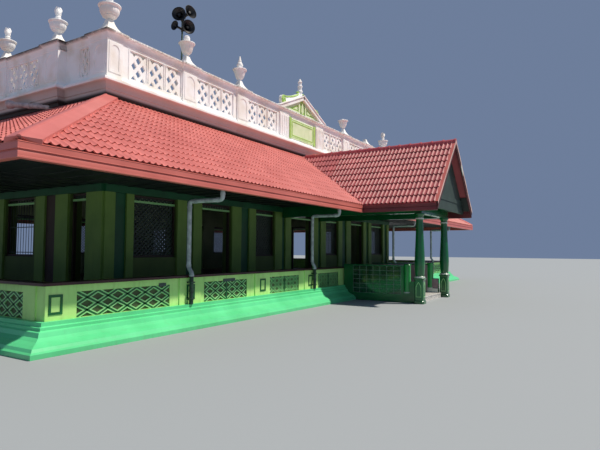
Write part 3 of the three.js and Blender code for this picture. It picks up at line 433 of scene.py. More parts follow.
# A plate with holes, drawn in (x, z) and given its depth by toWorld(x, z, depth)
def addPiercedPlate(bm, toWorld, outline, holes, depth0, depth1, material=0):
    points, edges = [], []
    for loop in [outline, *holes]:
        start, count = len(points), len(loop)
        edges += [(start + i, start + (i + 1) % count) for i in range(count)]
        points += [Vector(p) for p in loop]
    verts, _, triangles, _, _, _ = delaunay_2d_cdt(points, edges, [], 1, 1e-6)
    faces = []
    for triangle in triangles:
        middle = sum((verts[i] for i in triangle), Vector((0, 0))) / 3
        if not any(insideLoop(middle, hole) for hole in holes):
            faces.append(triangle)
    near, far = ([bm.verts.new(toWorld(p.x, p.y, depth)) for p in verts] for depth in (depth0, depth1))
    used = {}
    made = []
    for face in faces:
        made.append(bm.faces.new([near[i] for i in face]))
        made.append(bm.faces.new([far[i] for i in reversed(face)]))
        for a, b in zip(face, (*face[1:], face[0])):
            key = (min(a, b), max(a, b))
            used[key] = used.get(key, 0) + 1
    for (a, b), count in used.items():
        if count == 1:
            made.append(bm.faces.new((near[a], near[b], far[b], far[a])))
    for face in made:
        face.material_index = material
    loose = [v for v in (*near, *far) if not v.link_faces]
    bmesh.ops.delete(bm, geom=loose, context="VERTS")


def toMesh(bm, name):
    bmesh.ops.recalc_face_normals(bm, faces=bm.faces)
    mesh = bpy.data.meshes.new(name)
    bm.to_mesh(mesh)
    bm.free()
    return mesh


def mergeInto(bm, mesh, slotIndex=None):
    first = len(bm.faces)
    bm.from_mesh(mesh)
    bpy.data.meshes.remove(mesh)
    if slotIndex is not None:
        bm.faces.ensure_lookup_table()
        for face in bm.faces[first:]:
            face.material_index = slotIndex


def addToScene(name, content):
    thing = bpy.data.objects.new(name, content)
    scene.collection.objects.link(thing)
    return thing


def finishMesh(name, mesh, replaced=(), sharpDegrees=32):
    mesh.shade_smooth()
    mesh.set_sharp_from_angle(angle=radians(sharpDegrees))
    piece = addToScene(name, mesh)
    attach(piece, "root")
    if replaced:
        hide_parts(*replaced)
    return piece


def finishPiece(name, bm, materials, replaced=(), bevel=0.0):
    mesh = toMesh(bm, name)
    for material in materials:
        mesh.materials.append(material)
    piece = finishMesh(name, mesh, replaced)
    if bevel:
        edge = piece.modifiers.new("softEdges", "BEVEL")
        edge.width = bevel
        edge.segments = 2
        edge.limit_method = "ANGLE"
        edge.angle_limit = radians(32)
        edge.harden_normals = True


# Geometry Nodes trees, each turned into a plain mesh
def newTree(name, inputs):
    tree = bpy.data.node_groups.new(name, "GeometryNodeTree")
    tree.interface.new_socket("Geometry", in_out="INPUT", socket_type="NodeSocketGeometry")
    keys = {}
    for label, kind in inputs.items():
        socket = tree.interface.new_socket(label, in_out="INPUT", socket_type="NodeSocket" + kind)
        keys[label] = socket.identifier
    tree.interface.new_socket("Geometry", in_out="OUTPUT", socket_type="NodeSocketGeometry")
    return tree, tree.nodes.new("NodeGroupInput").outputs, keys


def endTree(tree, geometry, material):
    real = addNode(tree, "GeometryNodeRealizeInstances", [geometry])
    dressed = addNode(tree, "GeometryNodeSetMaterial", {"Geometry": real, "Material": material})
    addNode(tree, "NodeGroupOutput", [dressed])


def grow(recipe, values, points=(), edges=()):
    tree, keys = recipe
    seedMesh = bpy.data.meshes.new("seed")
    seedMesh.from_pydata([tuple(p) for p in points], list(edges), [])
    holder = addToScene("seed", seedMesh)
    modifier = holder.modifiers.new("grow", "NODES")
    modifier.node_group = tree
    for label, value in values.items():
        modifier[keys[label]] = value
    bpy.context.view_layer.update()
    mesh = bpy.data.meshes.new_from_object(holder.evaluated_get(bpy.context.evaluated_depsgraph_get()))
    bpy.data.objects.remove(holder)
    return mesh


# One module repeated on every point of the seed mesh
def repeatRecipe():
    tree, source, keys = newTree("repeatModule", {"Module": "Object", "Material": "Material"})
    module = addNode(tree, "GeometryNodeObjectInfo", {"Object": source["Module"]})
    placed = addNode(tree, "GeometryNodeInstanceOnPoints",
                     {"Points": source["Geometry"], "Instance": module.outputs["Geometry"]})
    endTree(tree, placed, source["Material"])
    return tree, keys


# A round section swept along the seed's edges, with rounded bends
def sweepRecipe():
    tree, source, keys = newTree("sweepSection", {
        "Radius": "Float", "Bend": "Float", "Sides": "Int", "Material": "Material"})
    path = addNode(tree, "GeometryNodeMeshToCurve", {"Mesh": source["Geometry"]})
    bent = addNode(tree, "GeometryNodeFilletCurve", {
        "Curve": path, "Radius": source["Bend"], "Count": 6, "Limit Radius": True}, mode="POLY")
    ring = addNode(tree, "GeometryNodeCurvePrimitiveCircle", {
        "Radius": source["Radius"], "Resolution": source["Sides"]})
    tube = addNode(tree, "GeometryNodeCurveToMesh", {"Curve": bent, "Profile Curve": ring, "Fill Caps": True})
    smooth = addNode(tree, "GeometryNodeSetShadeSmooth", {"Geometry": tube})
    endTree(tree, smooth, source["Material"])
    return tree, keys


# Pressed tile sheet: waves along X, courses up Y, cut to leaning sides
def tileRecipe():
    lengths = ("Start", "End", "Width", "Length", "Left Lean", "Right Lean", "Pitch", "Course", "Wave", "Lip",
               "Scallop", "Overhang", "Lift")
    tree, source, keys = newTree("tileSheet", {
        "Columns": "Int", "Rows": "Int", "Seed": "Int", "Material": "Material",
        **{label: "Float" for label in lengths}})
    grid = addNode(tree, "GeometryNodeMeshGrid", {
        "Size X": 1.0, "Size Y": 1.0, "Vertices X": source["Columns"], "Vertices Y": source["Rows"]})
    spot = addNode(tree, "ShaderNodeSeparateXYZ", [addNode(tree, "GeometryNodeInputPosition")]).outputs
    known = {label: source[label] for label in keys}
    known["height up"] = spot["Y"]
    known["across"] = addNode(tree, "ShaderNodeMapRange", {
        "Value": spot["X"], "From Min": -0.5, "From Max": 0.5, "To Min": source["Start"],
        "To Max": source["End"]})
    # Name of the result, operation, and inputs by name or number; three rows of the grid make a course
    for name, operation, *inputs in (
            ("share", "ADD", "height up", 0.5), ("last row", "SUBTRACT", "Rows", 1.0),
            ("free row", "MULTIPLY", "share", "last row"), ("row", "ROUND", "free row"),
            ("third", "MULTIPLY_ADD", "row", 1 / 3, 0.01), ("course", "FLOOR", "third"),
            ("step", "MULTIPLY_ADD", "course", -3.0, "row"), ("is lip", "COMPARE", "step", 1.0, 0.1),
            ("is middle", "COMPARE", "step", 2.0, 0.1), ("turns", "DIVIDE", "across", "Pitch"),
            ("angle", "MULTIPLY", "turns", 2 * pi), ("sine", "SINE", "angle"),
            ("skew", "MULTIPLY_ADD", "sine", 0.7, "angle"), ("cosine", "COSINE", "skew"),
            ("crest", "MULTIPLY_ADD", "cosine", 0.5, 0.5),
            ("half step", "MULTIPLY_ADD", "is middle", 0.5, "course"),
            ("up slope", "MULTIPLY", "half step", "Course"), ("lip back", "MULTIPLY", "is lip", "Overhang"),
            ("lip run", "SUBTRACT", "up slope", "lip back"), ("not middle", "SUBTRACT", 1.0, "is middle"),
            ("reach", "MULTIPLY", "crest", "Scallop"), ("dropped", "MULTIPLY", "reach", "not middle"),
            ("free run", "SUBTRACT", "lip run", "dropped"), ("along", "MINIMUM", "free run", "Length"),
            ("thickness", "MULTIPLY_ADD", "is middle", 0.5, "is lip"),
            ("lip height", "MULTIPLY_ADD", "thickness", "Lip", "Lift"),
            ("height", "MULTIPLY_ADD", "crest", "Wave", "lip height"),
            ("left", "MULTIPLY", "along", "Left Lean"),
            ("right", "MULTIPLY_ADD", "along", "Right Lean", "Width"),
            ("not left", "MAXIMUM", "across", "left"), ("kept", "MINIMUM", "not left", "right"),
            ("left edge", "SUBTRACT", "left", "Pitch"), ("right edge", "ADD", "right", "Pitch"),
            ("too left", "LESS_THAN", "across", "left edge"),
            ("too right", "GREATER_THAN", "across", "right edge"),
                                     ("outside", "ADD", "too left", "too right"),
            ("turn", "FLOOR", "turns"), ("tile number", "MULTIPLY_ADD", "turn", 37.0, "course")):
        known[name] = addNode(
            tree, "ShaderNodeMath", [known.get(key, key) for key in inputs], operation=operation)
    tint = addNode(tree, "FunctionNodeRandomValue", {"ID": known["tile number"], "Seed": source["Seed"]},
                   data_type="FLOAT")
    tinted = addNode(tree, "GeometryNodeStoreNamedAttribute",
                     {"Geometry": grid, "Name": "tint", "Value": tint}, data_type="FLOAT", domain="FACE")
    trimmed = addNode(tree, "GeometryNodeDeleteGeometry", {"Geometry": tinted, "Selection": known["outside"]},
                      domain="POINT")
    position = addNode(tree, "ShaderNodeCombineXYZ", [known["kept"], known["along"], known["height"]])
    shaped = addNode(tree, "GeometryNodeSetPosition", {"Geometry": trimmed, "Position": position})
    endTree(tree, shaped, source["Material"])
    return tree, keys


repeatModule = repeatRecipe()
sweepSection = sweepRecipe()
tileSheet = tileRecipe()


def repeatInto(bm, moduleBm, points, material, slotIndex=0):
    module = addToScene("module", toMesh(moduleBm, "module"))
    mergeInto(bm, grow(repeatModule, {"Module": module, "Material": material}, points), slotIndex)
    bpy.data.objects.remove(module)


def sweepInto(bm, path, radius, material, slotIndex, bend=0.0, sides=18):
    edges = [(i, i + 1) for i in range(len(path) - 1)]
    values = {"Radius": radius, "Bend": bend, "Sides": sides, "Material": material}
    mergeInto(bm, grow(sweepSection, values, path, edges), slotIndex)


# Tiled roof sheets on the slopes
roofTiles = {"pitch": 0.145, "course": 0.35, "wave": 0.034, "lip": 0.026, "scallop": -0.012, "overhang": 0.03,
             "lift": 0.006, "start": 0.055, "perWave": 6, "topClear": 0.02, "sharpDegrees": 48}
porchTiles = {**roofTiles, "wave": 0.04, "lip": 0.03, "start": 0.05}
bandSheet = {"lap": 0.08, "low": -0.004, "bottom": -0.002, "top": 0.006}
rise = lines["roofTop"] - lines["roofFoot"]
frontRun = lines["eaveOverhang"] + lines["frontVeranda"]
sideRun = lines["eaveOverhang"] + lines["sideVeranda"]


def slopeFrame(x, y, along, inward, run):
    length = hypot(run, rise)
    up = (inward * run + Vector((0, 0, rise))) / length
    turn = Matrix((along, up, along.cross(up))).transposed().to_4x4()
    turn.translation = (x, y, lines["roofFoot"])
    return turn, length


def tileSlope(name, slope, width, leftLean, rightLean, material, slotName, seed, look):
    turn, length = slope
    start = look["start"]
    used = length - start - look["topClear"]
    wide = width + (rightLean - leftLean) * start
    low = min(0.0, leftLean * used)
    high = max(wide, wide + rightLean * used)
    mesh = grow(tileSheet, {
        "Columns": ceil((high - low) / look["pitch"] * look["perWave"]) + 1,
        "Rows": 3 * ceil(used / look["course"]) + 1, "Start": low, "End": high, "Width": wide,
        "Length": used, "Left Lean": leftLean, "Right Lean": rightLean, "Seed": seed, "Material": material,
        **{key.capitalize(): look[key] for key in (
            "pitch", "course", "wave", "lip", "scallop", "overhang", "lift")}})
    mesh.transform(turn @ Matrix.Translation((leftLean * start, start, 0)))
    finishMesh(name, mesh, (), look["sharpDegrees"])


# A flat strip across a slope, from one distance up it to another
def addStrip(bm, slope, width, leftLean, rightLean, ups, low, high):
    rings = []
    for up in ups:
        left, right = leftLean * up, width + rightLean * up
        rings.append([slope[0] @ Vector((x, up, z)) for x, z in rectangle(left, right, low, high)])
    addLoft(bm, rings)


def tileRoof(prefix, slopes, look, material, slotName, seed, bandName, bandMaterial):
    bm = bmesh.new()
    for number, (side, *form) in enumerate(slopes):
        tileSlope(prefix + side, *form, material, slotName, seed + number, look)
        addStrip(bm, *form, (bandSheet["low"], look["start"] + bandSheet["lap"]), bandSheet["bottom"],
                 bandSheet["top"])
    finishPiece(bandName, bm, [bandMaterial])


x0, y0, x1, y1 = eaveRect
eave = lines["porchEave"]
porchWidth = y0 - porchFront - 0.05
alongX, alongY = Vector((1, 0, 0)), Vector((0, 1, 0))
frontSlope = slopeFrame(x0, y0, alongX, alongY, frontRun)
leftSlope = slopeFrame(x0, y1, -alongY, alongX, sideRun)
porchLeftSlope = slopeFrame(-eave, y0, -alongY, alongX, eave)
hipOnFront = sideRun / frontSlope[1]
hipOnSide = frontRun / leftSlope[1]
valleyOnFront = eave / frontSlope[1]
valleyOnPorch = frontRun / porchLeftSlope[1]
mainSlopes = [
    ("front_left", frontSlope, -x0 - eave, hipOnFront, valleyOnFront),
    ("front_right", slopeFrame(eave, y0, alongX, alongY, frontRun), -x0 - eave, -valleyOnFront, -hipOnFront),
    ("back", slopeFrame(x1, y1, -alongX, -alongY, frontRun), x1 - x0, hipOnFront, -hipOnFront),
    ("left", leftSlope, y1 - y0, hipOnSide, -hipOnSide),
    ("right", slopeFrame(x1, y0, alongY, -alongX, sideRun), y1 - y0, hipOnSide, -hipOnSide),
]
porchSlopes = [
    ("left", porchLeftSlope, porchWidth, -valleyOnPorch, 0.0),
    ("right", slopeFrame(eave, porchFront + 0.05, alongY, -alongX, eave), porchWidth, 0.0, valleyOnPorch),
]
tileRoof("roof_tiles_", mainSlopes, roofTiles, steel["salmonTileSheet"], "roof_tile", 11, "eaves_band_sheet",
         steel["salmonFlashing"])
tileRoof("porch_tiles_", porchSlopes, porchTiles, steel["porchTileSheet"], "porch_tile", 16,
         "porch_band_sheet", steel["redRidgeSheet"])
print("roof tiles laid")


# Folded sheets over the four hips
hipSheet = {"reach": 0.36, "eaveHeight": 0.085, "eaveMiddle": 0.072, "height": 0.09, "roll": 0.02,
            "rollWidth": 0.05, "rampEnd": 0.03, "under": -0.004, "keel": -0.02}


def hipPiece(name, corner, top, towardMiddle, inward):
    look = hipSheet
    half, roll, high, under = pick(look, "reach", "rollWidth", "height", "under")
    rings = []
    for share, height, middle in (
        (0.0, look["eaveHeight"], look["eaveMiddle"]), (look["rampEnd"], high, high), (1.0, high, high)):
        base = corner.lerp(top, share)
        profile = [(half, under), (half, height), (roll, middle + 0.004), (0.6 * roll, middle + look["roll"])]
        ring = [base + towardMiddle * reach + Vector((0, 0, z)) for reach, z in profile]
        ring += [base + inward * reach + Vector((0, 0, z)) for reach,
                 z in [*reversed(profile), (0.0, look["keel"])]]
        rings.append(ring)
    bm = bmesh.new()
    addLoft(bm, rings)
    finishPiece(name, bm, [steel["hipFlashing"]], [name.replace("sheet", "cap")], 0.003)


for sideName, signX in (("left", -1), ("right", 1)):
    for frontName, signY, edgeY, wallY in (("front", -1, y0, hallRect[1]), ("back", 1, y1, hallRect[3])):
        hipPiece(f"hip_sheet_{frontName}_{sideName}", Vector((signX * x1, edgeY, lines["roofFoot"])),
                 Vector((signX * hallRect[2], wallY, lines["roofTop"])), Vector((-signX, 0, 0)),
                 Vector((0, -signY, 0)))
print("hips capped")


# Parapets with cornice, pierced panels, pedestals and coping
parapet = {
    "wallTop": 5.57, "noseBottom": 5.99, "noseTop": 6.05, "flareTop": 6.26, "bottom": 6.08,
    "copingBottom": 7.12, "top": 7.35, "lip": 0.045, "thickness": 0.25, "backProud": 0.004, "relief": 0.05,
    "corniceReach": 0.24, "copingReach": 0.11, "panelBottom": 6.3, "panelTop": 7.06, "panelDepth": 0.03,
    "frontPedestals": [(5.74, 6.33), (8.34, 8.95)],
    "frontPanels": [(3.8, 5.7), (6.38, 8.15), (8.98, 10.8)],
    "backPedestals": [(5.74, 6.33), (8.34, 8.95), (10.97, 11.56)],
    "backPanels": [(3.8, 5.7), (6.38, 8.15), (9.1, 10.82)],
    "sideBreak": 4.32, "sideBreakReach": 0.21, "centreMargin": 0.15,
    "sidePedestals": [(4.32, 4.95), (6.87, 7.49)], "sidePanels": [(3.37, 3.73), (5.31, 6.83)],
    "cornerWidth": 0.43, "cornerDepth": 0.65,
}
panelLow, panelHigh = parapet["panelBottom"], parapet["panelTop"]
wallLow, wallHigh = parapet["bottom"] - 0.01, parapet["copingBottom"] + 0.01
relief, thickness, cornerWidth = pick(parapet, "relief", "thickness", "cornerWidth")
hallLength, hallDepth = sideLength(hallRect, "front"), sideLength(hallRect, "left")


def arcPoints(centre, radiusX, radiusZ, startDegrees, endDegrees, count):
    points = []
    for i in range(count + 1):
        angle = radians(startDegrees + (endDegrees - startDegrees) * i / count)
        points.append((centre[0] + radiusX * cos(angle), centre[1] + radiusZ * sin(angle)))
    return points


def corniceProfile():
    reach, foot, nose, noseTop, flareTop = pick(
        parapet, "corniceReach", "wallTop", "noseBottom", "noseTop", "flareTop")
    cove = arcPoints((0.02 - reach, foot + 0.24), reach - 0.12, nose - foot - 0.24, 0, 90, 7)
    flare = arcPoints((0.04 - reach, flareTop), reach - 0.04, flareTop - noseTop - 0.04, 270, 360, 7)
    back = thickness + parapet["backProud"]
    return [(back, foot), (0, foot), (0, foot + 0.1), (-0.06, foot + 0.1), (-0.06, foot + 0.15),
            (-0.075, foot + 0.2), (-0.075, foot + 0.235), *cove, (-reach, nose + 0.008), (-reach, noseTop),
            (0.03 - reach, noseTop + 0.012), (0.03 - reach, noseTop + 0.035), *flare, (back, flareTop)]


def copingSteps():
    reach, low, top = parapet["copingReach"], parapet["copingBottom"], parapet["top"]
    lipLow = top - parapet["lip"]
    cove = arcPoints((0.014 - reach, low + 0.022), reach - 0.026, lipLow - low - 0.026, 0, 90, 6)
    return [(0.0, low), (-0.012, low + 0.004), *cove, (-reach, lipLow), (-reach, top - 0.008),
            (0.008 - reach, top)]


# The cornice and the coping, run along a wall
def addMouldings(bm, place, u0, u1, mitre0=0, mitre1=0):
    addRun(bm, place, corniceProfile(), u0, u1, mitre0, mitre1)
    back = thickness + parapet["backProud"]
    coping = [(back, parapet["copingBottom"]), *copingSteps(), (back, parapet["top"])]
    addRun(bm, place, coping, u0, u1, mitre0, mitre1)


# A plate with an arched sinking
def addSunkFace(bm, toFace, u0, u1, z0, z1, border, proud=0.014):
    a, b, top = u0 + border, u1 - border, z1 - border
    half = (b - a) / 2
    hole = [(a, z0 + border), (b, z0 + border), *arcPoints(((a + b) / 2, top - half), half, half, 0, 180, 8)]
    addPiercedPlate(bm, toFace, rectangle(u0, u1, z0, z1), [hole], -proud, 0.004)


def addPedestal(bm, place, u0, u1, v0, v1):
    rings = [(0.0, parapet["bottom"]), *[(-v, z) for v, z in copingSteps()]]
    addLoft(bm, [[place(u, v, z) for u, v in rectangle(u0 - r, u1 + r, v0 - r, v1 + r)] for r, z in rings])
    addSunkFace(bm, lambda x, z, depth: place(x, v0 + depth, z), u0 + 0.05, u1 - 0.05, panelLow - 0.03,
                panelHigh + 0.01, 0.07)


# Upright lozenges in rows of two and one, as one pierced group
lozenge = {"width": 0.175, "height": 0.24, "column": 0.15, "rows": (2, 1, 2, 1, 2), "thickness": 0.05,
           "bay": 0.6, "margin": 0.014, "strip": 0.085, "groove": 0.045}


def addLozengeGroup(bm, place, u0, u1):
    look = lozenge
    low, high = panelLow + look["margin"], panelHigh - look["margin"]
    middle = (u0 + u1) / 2
    lastRow = len(look["rows"]) - 1
    column = min(look["column"], 0.25 * (u1 - u0))
    wide = min(look["width"], u1 - u0 - look["strip"] - 2 * column) / 2
    tall = look["height"] / 2
    holes = []
    for row, count in enumerate(look["rows"]):
        z = low + (high - low) * row / lastRow
        for u in [middle] if count == 1 else [middle - column, middle + column]:
            left, right, bottom, top = (u - wide, z), (u + wide, z), (u, z - tall), (u, z + tall)
            if row == 0:
                holes.append([left, right, top])
            else:
                holes.append([left, bottom, right] if row == lastRow else [left, bottom, right, top])
    depth = parapet["panelDepth"]
    addPiercedPlate(bm, onFace(place), rectangle(u0, u1, panelLow, panelHigh), holes, depth,
                    depth + look["thickness"])


def addPanel(bm, place, u0, u1):
    strip = lozenge["strip"]
    count = max(1, round((u1 - u0) / lozenge["bay"]))
    bay = (u1 - u0) / count
    for i in range(count):
        addLozengeGroup(bm, place, u0 + i * bay, u0 + (i + 1) * bay)
    toFace = lambda x, z, depth: place(x, parapet["panelDepth"] + depth, z)
    for i in range(1, count):
        middle = u0 + i * bay
        addSunkFace(bm, toFace, middle - strip / 2, middle + strip / 2, panelLow, panelHigh,
                    (strip - lozenge["groove"]) / 2, 0.022)


def addWallWithPanels(bm, place, u0, u1, panels):
    edges = [u0]
    for a, b in sorted(panels):
        edges += [a, b]
        addBox(bm, place, a - 0.001, b + 0.001, 0, thickness, wallLow, panelLow)
        addBox(bm, place, a - 0.001, b + 0.001, 0, thickness, panelHigh, wallHigh)
        addPanel(bm, place, a, b)
        for side in (a - 0.045, b + 0.005):
            addBox(bm, place, side, side + 0.04, -0.014, 0.02, panelLow - 0.04, panelHigh + 0.03)
    edges.append(u1)
    for a, b in zip(edges[::2], edges[1::2]):
        addBox(bm, place, a, b, 0, thickness, wallLow, wallHigh)


# Urns: square flared foot, waist, a cup or a bulb with a wide rim, and what is left of each top
urnLook = {
    "footHalf": 0.21, "segments": 20, "ribs": 10, "ribWidth": 0.026, "ribProud": 0.006, "ribSunk": 0.012,
    "bowlFrom": 0.35, "cornerScale": 1.17, "petals": 4, "petalLow": 0.82, "petalHigh": 1.07,
    "petalTwist": 1.2, "petalWidth": 0.042,
    "foot": [(1.0, -0.004), (1.0, 0.05), (0.93, 0.06), (0.8, 0.09), (0.62, 0.14), (0.48, 0.2), (0.38, 0.26),
             (0.33, 0.308)],
    "cup": [(0, 0.3), (0.07, 0.3), (0.076, 0.312), (0.07, 0.324), (0.05, 0.332), (0.054, 0.348),
            (0.085, 0.37), (0.13, 0.42), (0.158, 0.48), (0.178, 0.56), (0.198, 0.63), (0.238, 0.69),
            (0.252, 0.698), (0.258, 0.714), (0.25, 0.732), (0.21, 0.74), (0.13, 0.752), (0.1, 0.765),
            (0.072, 0.785)],
    "bulb": [(0, 0.3), (0.075, 0.3), (0.08, 0.312), (0.072, 0.326), (0.062, 0.334), (0.085, 0.35),
             (0.15, 0.388), (0.158, 0.398), (0.152, 0.412), (0.168, 0.422), (0.18, 0.435), (0.205, 0.5),
             (0.213, 0.565), (0.203, 0.6), (0.244, 0.612), (0.252, 0.63), (0.248, 0.65), (0.2, 0.66),
             (0.1, 0.666), (0.072, 0.678), (0.068, 0.76), (0.08, 0.772), (0.068, 0.785)],
    "bowlTo": {"cup": 0.692, "bulb": 0.6},
    "knob": [(0.072, 0.81), (0.095, 0.84), (0.098, 0.88), (0.08, 0.91), (0.088, 0.925), (0.06, 0.955),
             (0, 0.98)],
    "cone": [(0.085, 0.81), (0.11, 0.85), (0.112, 0.9), (0.085, 0.96), (0.06, 0.99), (0.066, 1.01),
             (0.05, 1.06), (0.022, 1.19), (0, 1.21)],
    "lid": [(0.05, 0.795), (0.022, 0.812), (0, 0.815)],
    "bud": [(0.06, 0.81), (0.078, 0.85), (0.08, 0.91), (0.055, 0.98), (0.025, 1.025), (0, 1.035)],
}


# Three points across a rib or petal: both edges and the crest between them
def ribRing(spot, scale, angle, inner, crest, wide, height):
    out = Vector((cos(angle), sin(angle), 0))
    side = Vector((-out.y, out.x, 0)) * wide
    up = Vector((0, 0, height))
    return [spot + scale * (out * inner - side + up), spot + scale * (out * crest + up),
            spot + scale * (out * inner + side + up)]


def addPetals(bm, spot, scale):
    look = urnLook
    for i in range(look["petals"]):
        rings = []
        for step in range(7):
            lift = step / 6
            bulge = 0.05 + 0.045 * sin(pi * min(1.0, lift * 1.05))
            height = look["petalLow"] + (look["petalHigh"] - look["petalLow"]) * lift
            angle = 2 * pi * i / look["petals"] + look["petalTwist"] * lift
            rings.append(ribRing(
                spot, scale, angle, bulge - 0.03, bulge + 0.015, look["petalWidth"] * (1.04 - lift), height))
        addLoft(bm, rings)


def addUrn(bm, spot, form, top, scale=1.0):
    look = urnLook
    rings = []
    for share, z in look["foot"]:
        half = share * look["footHalf"] * scale
        rings.append([spot + Vector((x, y, z * scale)) for x, y in rectangle(-half, half, -half, half)])
    addLoft(bm, rings)
    if top == "lost":
        return
    addLathe(bm, [(r * scale, z * scale) for r, z in look[form] + look[top]], spot, look["segments"])
    bowl = [(r, z) for r, z in look[form] if look["bowlFrom"] < z < look["bowlTo"][form]]
    for i in range(look["ribs"]):
        angle = 2 * pi * i / look["ribs"]
        addLoft(bm, [ribRing(spot, scale, angle, r - look["ribSunk"], r + look["ribProud"],
                             look["ribWidth"] * r / bowl[-1][0], z) for r, z in bowl])
    if top == "bud":
        addPetals(bm, spot, scale)


def addPedestals(bm, place, pedestals, urns):
    for (a, b), (form, top) in zip(pedestals, urns):
        addPedestal(bm, place, a, b, -relief, thickness + 3 * parapet["backProud"])
        addUrn(bm, place((a + b) / 2, thickness / 2, parapet["top"]), form, top)


def addCornerBlock(bm, place, a, b, outer):
    depth = parapet["cornerDepth"]
    addPedestal(bm, place, a, b, -relief, depth)
    addUrn(bm, place((a + b) / 2, cornerWidth / 2, parapet["top"]), "bulb", "bud", urnLook["cornerScale"])
    endFace = lambda x, z, sunk: place(outer + (sunk if outer == a else -sunk), x, z)
    addSunkFace(bm, endFace, 0.06 - relief, depth - 0.12, panelLow - 0.03, panelHigh + 0.01, 0.08)


def frontParapet(name, side, u0, u1, mitres, pedestals, urns, panels, corners):
    bm = bmesh.new()
    place = sideMap(hallRect, side)
    addMouldings(bm, place, u0, u1, *mitres)
    addWallWithPanels(bm, place, u0 + 0.3 * mitres[0], u1 - 0.3 * mitres[1], panels)
    addPedestals(bm, place, pedestals, urns)
    for corner in corners:
        addCornerBlock(bm, place, *corner)
    finishPiece(name + "_plaster", bm, [white], [name], bevel=0.005)


def onFront(key):
    return shifted(parapet[key], lines["sideVeranda"])


def onSide(key):
    return shifted(parapet[key], lines["frontVeranda"])


pedimentHalf = 1.85
leftCorner = (-relief, cornerWidth, -relief)
rightCorner = (hallLength - cornerWidth, hallLength + relief, hallLength + relief)
frontPedestals, frontPanels = onFront("frontPedestals"), onFront("frontPanels")
toPediment = hallLength / 2 - pedimentHalf
frontParapet("parapet_front_left", "front", 0, toPediment, (1, 0), frontPedestals,
             [("cup", "knob"), ("cup", "cone")], frontPanels, [leftCorner])
frontParapet("parapet_front_right", "front", hallLength - toPediment, hallLength, (0, 1),
             flipped(frontPedestals, hallLength), [("cup", "lost"), ("cup", "lid")],
             flipped(frontPanels, hallLength), [rightCorner])
frontParapet("parapet_back", "back", 0, hallLength, (1, 1), bothHalves(onFront("backPedestals"), hallLength),
             [("cup", "bud")] * 6, bothHalves(onFront("backPanels"), hallLength), [leftCorner, rightCorner])


def sideParapet(name, side):
    bm = bmesh.new()
    face = sideMap(hallRect, side)
    proud = sideMap(hallRect, side, parapet["sideBreakReach"])
    start = parapet["sideBreak"] - lines["frontVeranda"]
    end = hallDepth - start
    addMouldings(bm, face, 0, hallDepth, 1, 1)
    addMouldings(bm, proud, start, end, 1, 1)
    for turned in (lambda u, v, z: proud(start + v, u, z), lambda u, v, z: proud(end - v, u, z)):
        addMouldings(bm, turned, 0, parapet["sideBreakReach"] + 0.01, 1, 0)
    endPanel, sidePanel = onSide("sidePanels")
    depth = parapet["cornerDepth"] - 0.02
    addWallWithPanels(bm, face, depth, start + 0.05, [endPanel])
    addWallWithPanels(bm, face, end - 0.05, hallDepth - depth, flipped([endPanel], hallDepth))
    middle = parapet["sidePedestals"][1][1] + parapet["centreMargin"] - lines["frontVeranda"]
    addWallWithPanels(bm, proud, start + 0.01, end - 0.01,
                      [*bothHalves([sidePanel], hallDepth), (middle, hallDepth - middle)])
    addPedestals(bm, proud, bothHalves(onSide("sidePedestals"), hallDepth), [("bulb", "bud")] * 4)
    finishPiece(name + "_plaster", bm, [white], [name], bevel=0.005)


sideParapet("parapet_left", "left")
sideParapet("parapet_right", "right")
print("parapets built")


# Entrance pediment with scrolls, a bare plate and a finial
pedimentLook = {
    "apex": 8.17, "rake": 0.15, "reach": 0.09, "plateHalf": 1.025, "plateBottom": 6.26, "plateTop": 7.06,
    "pierInner": 1.08, "pierOuter": 1.73, "flutes": 5, "fluteHalf": 0.032, "scrollTop": 8.33, "volute": 0.19,
    "scrollFoot": 1.5,
    "stem": [(0, 0.0), (0.14, 0.0), (0.14, 0.08), (0.09, 0.12), (0.09, 0.24), (0.12, 0.27), (0.12, 0.31),
             (0.085, 0.34), (0.09, 0.46), (0.11, 0.49), (0.11, 0.53), (0.078, 0.56), (0.078, 0.66),
             (0.095, 0.69), (0.066, 0.74), (0.035, 0.82), (0, 0.84)],
    "petal": [(0, 0), (0.45, 0.35), (1.0, 0.5), (1.5, 0.15), (1.2, -0.25), (0.5, -0.2)],
    "petals": ((0.16, 0.03, 0.15), (0.3, -0.06, 0.12), (0.12, 0.2, 0.09)),
    "leaf": [(0, 0.06), (0.1, 0.2), (0.07, 0.4), (0, 0.56), (-0.07, 0.4), (-0.1, 0.2)],
}
tympanumSlope = (pedimentLook["apex"] - parapet["top"]) / pedimentHalf


def addScroll(bm, side):
    look = pedimentLook
    front = hallRect[1] + 0.065
    volute, scrollFoot = look["volute"], look["scrollFoot"]
    rake = lambda x: look["apex"] - tympanumSlope * x - look["rake"] / 2
    centre = Vector((scrollFoot - volute, rake(scrollFoot - volute) + look["rake"] + 0.06))
    outline = [(0.06, rake(0.06)), (scrollFoot - 0.02, rake(scrollFoot))]
    outline += arcPoints(centre, volute, volute, -40, 108, 10)
    start, end = Vector(outline[-1]), Vector((0.06, look["scrollTop"]))
    for i in range(1, 9):
        t = i / 8
        sag = -0.03 * sin(pi * t)
        outline.append((start.x + (end.x - start.x) * t, start.y + (end.y - start.y) * t ** 1.15 + sag))
    addSlab(bm, lambda x, z, depth: Vector((side * x, front + depth, z)), outline, 0.0, 0.12)
    path = [Vector((side * x, front - 0.006, z - 0.035)) for x, z in outline[-2:-9:-1]]
    for i in range(26):
        angle = radians(100 - i * 24)
        radius = volute * (0.86 - 0.028 * i)
        path.append(Vector((
            side * (centre.x + radius * cos(angle)), front - 0.006, centre.y + radius * sin(angle))))
    sweepInto(bm, path, 0.03, paint["limeGreenDistemper"], 1, sides=8)


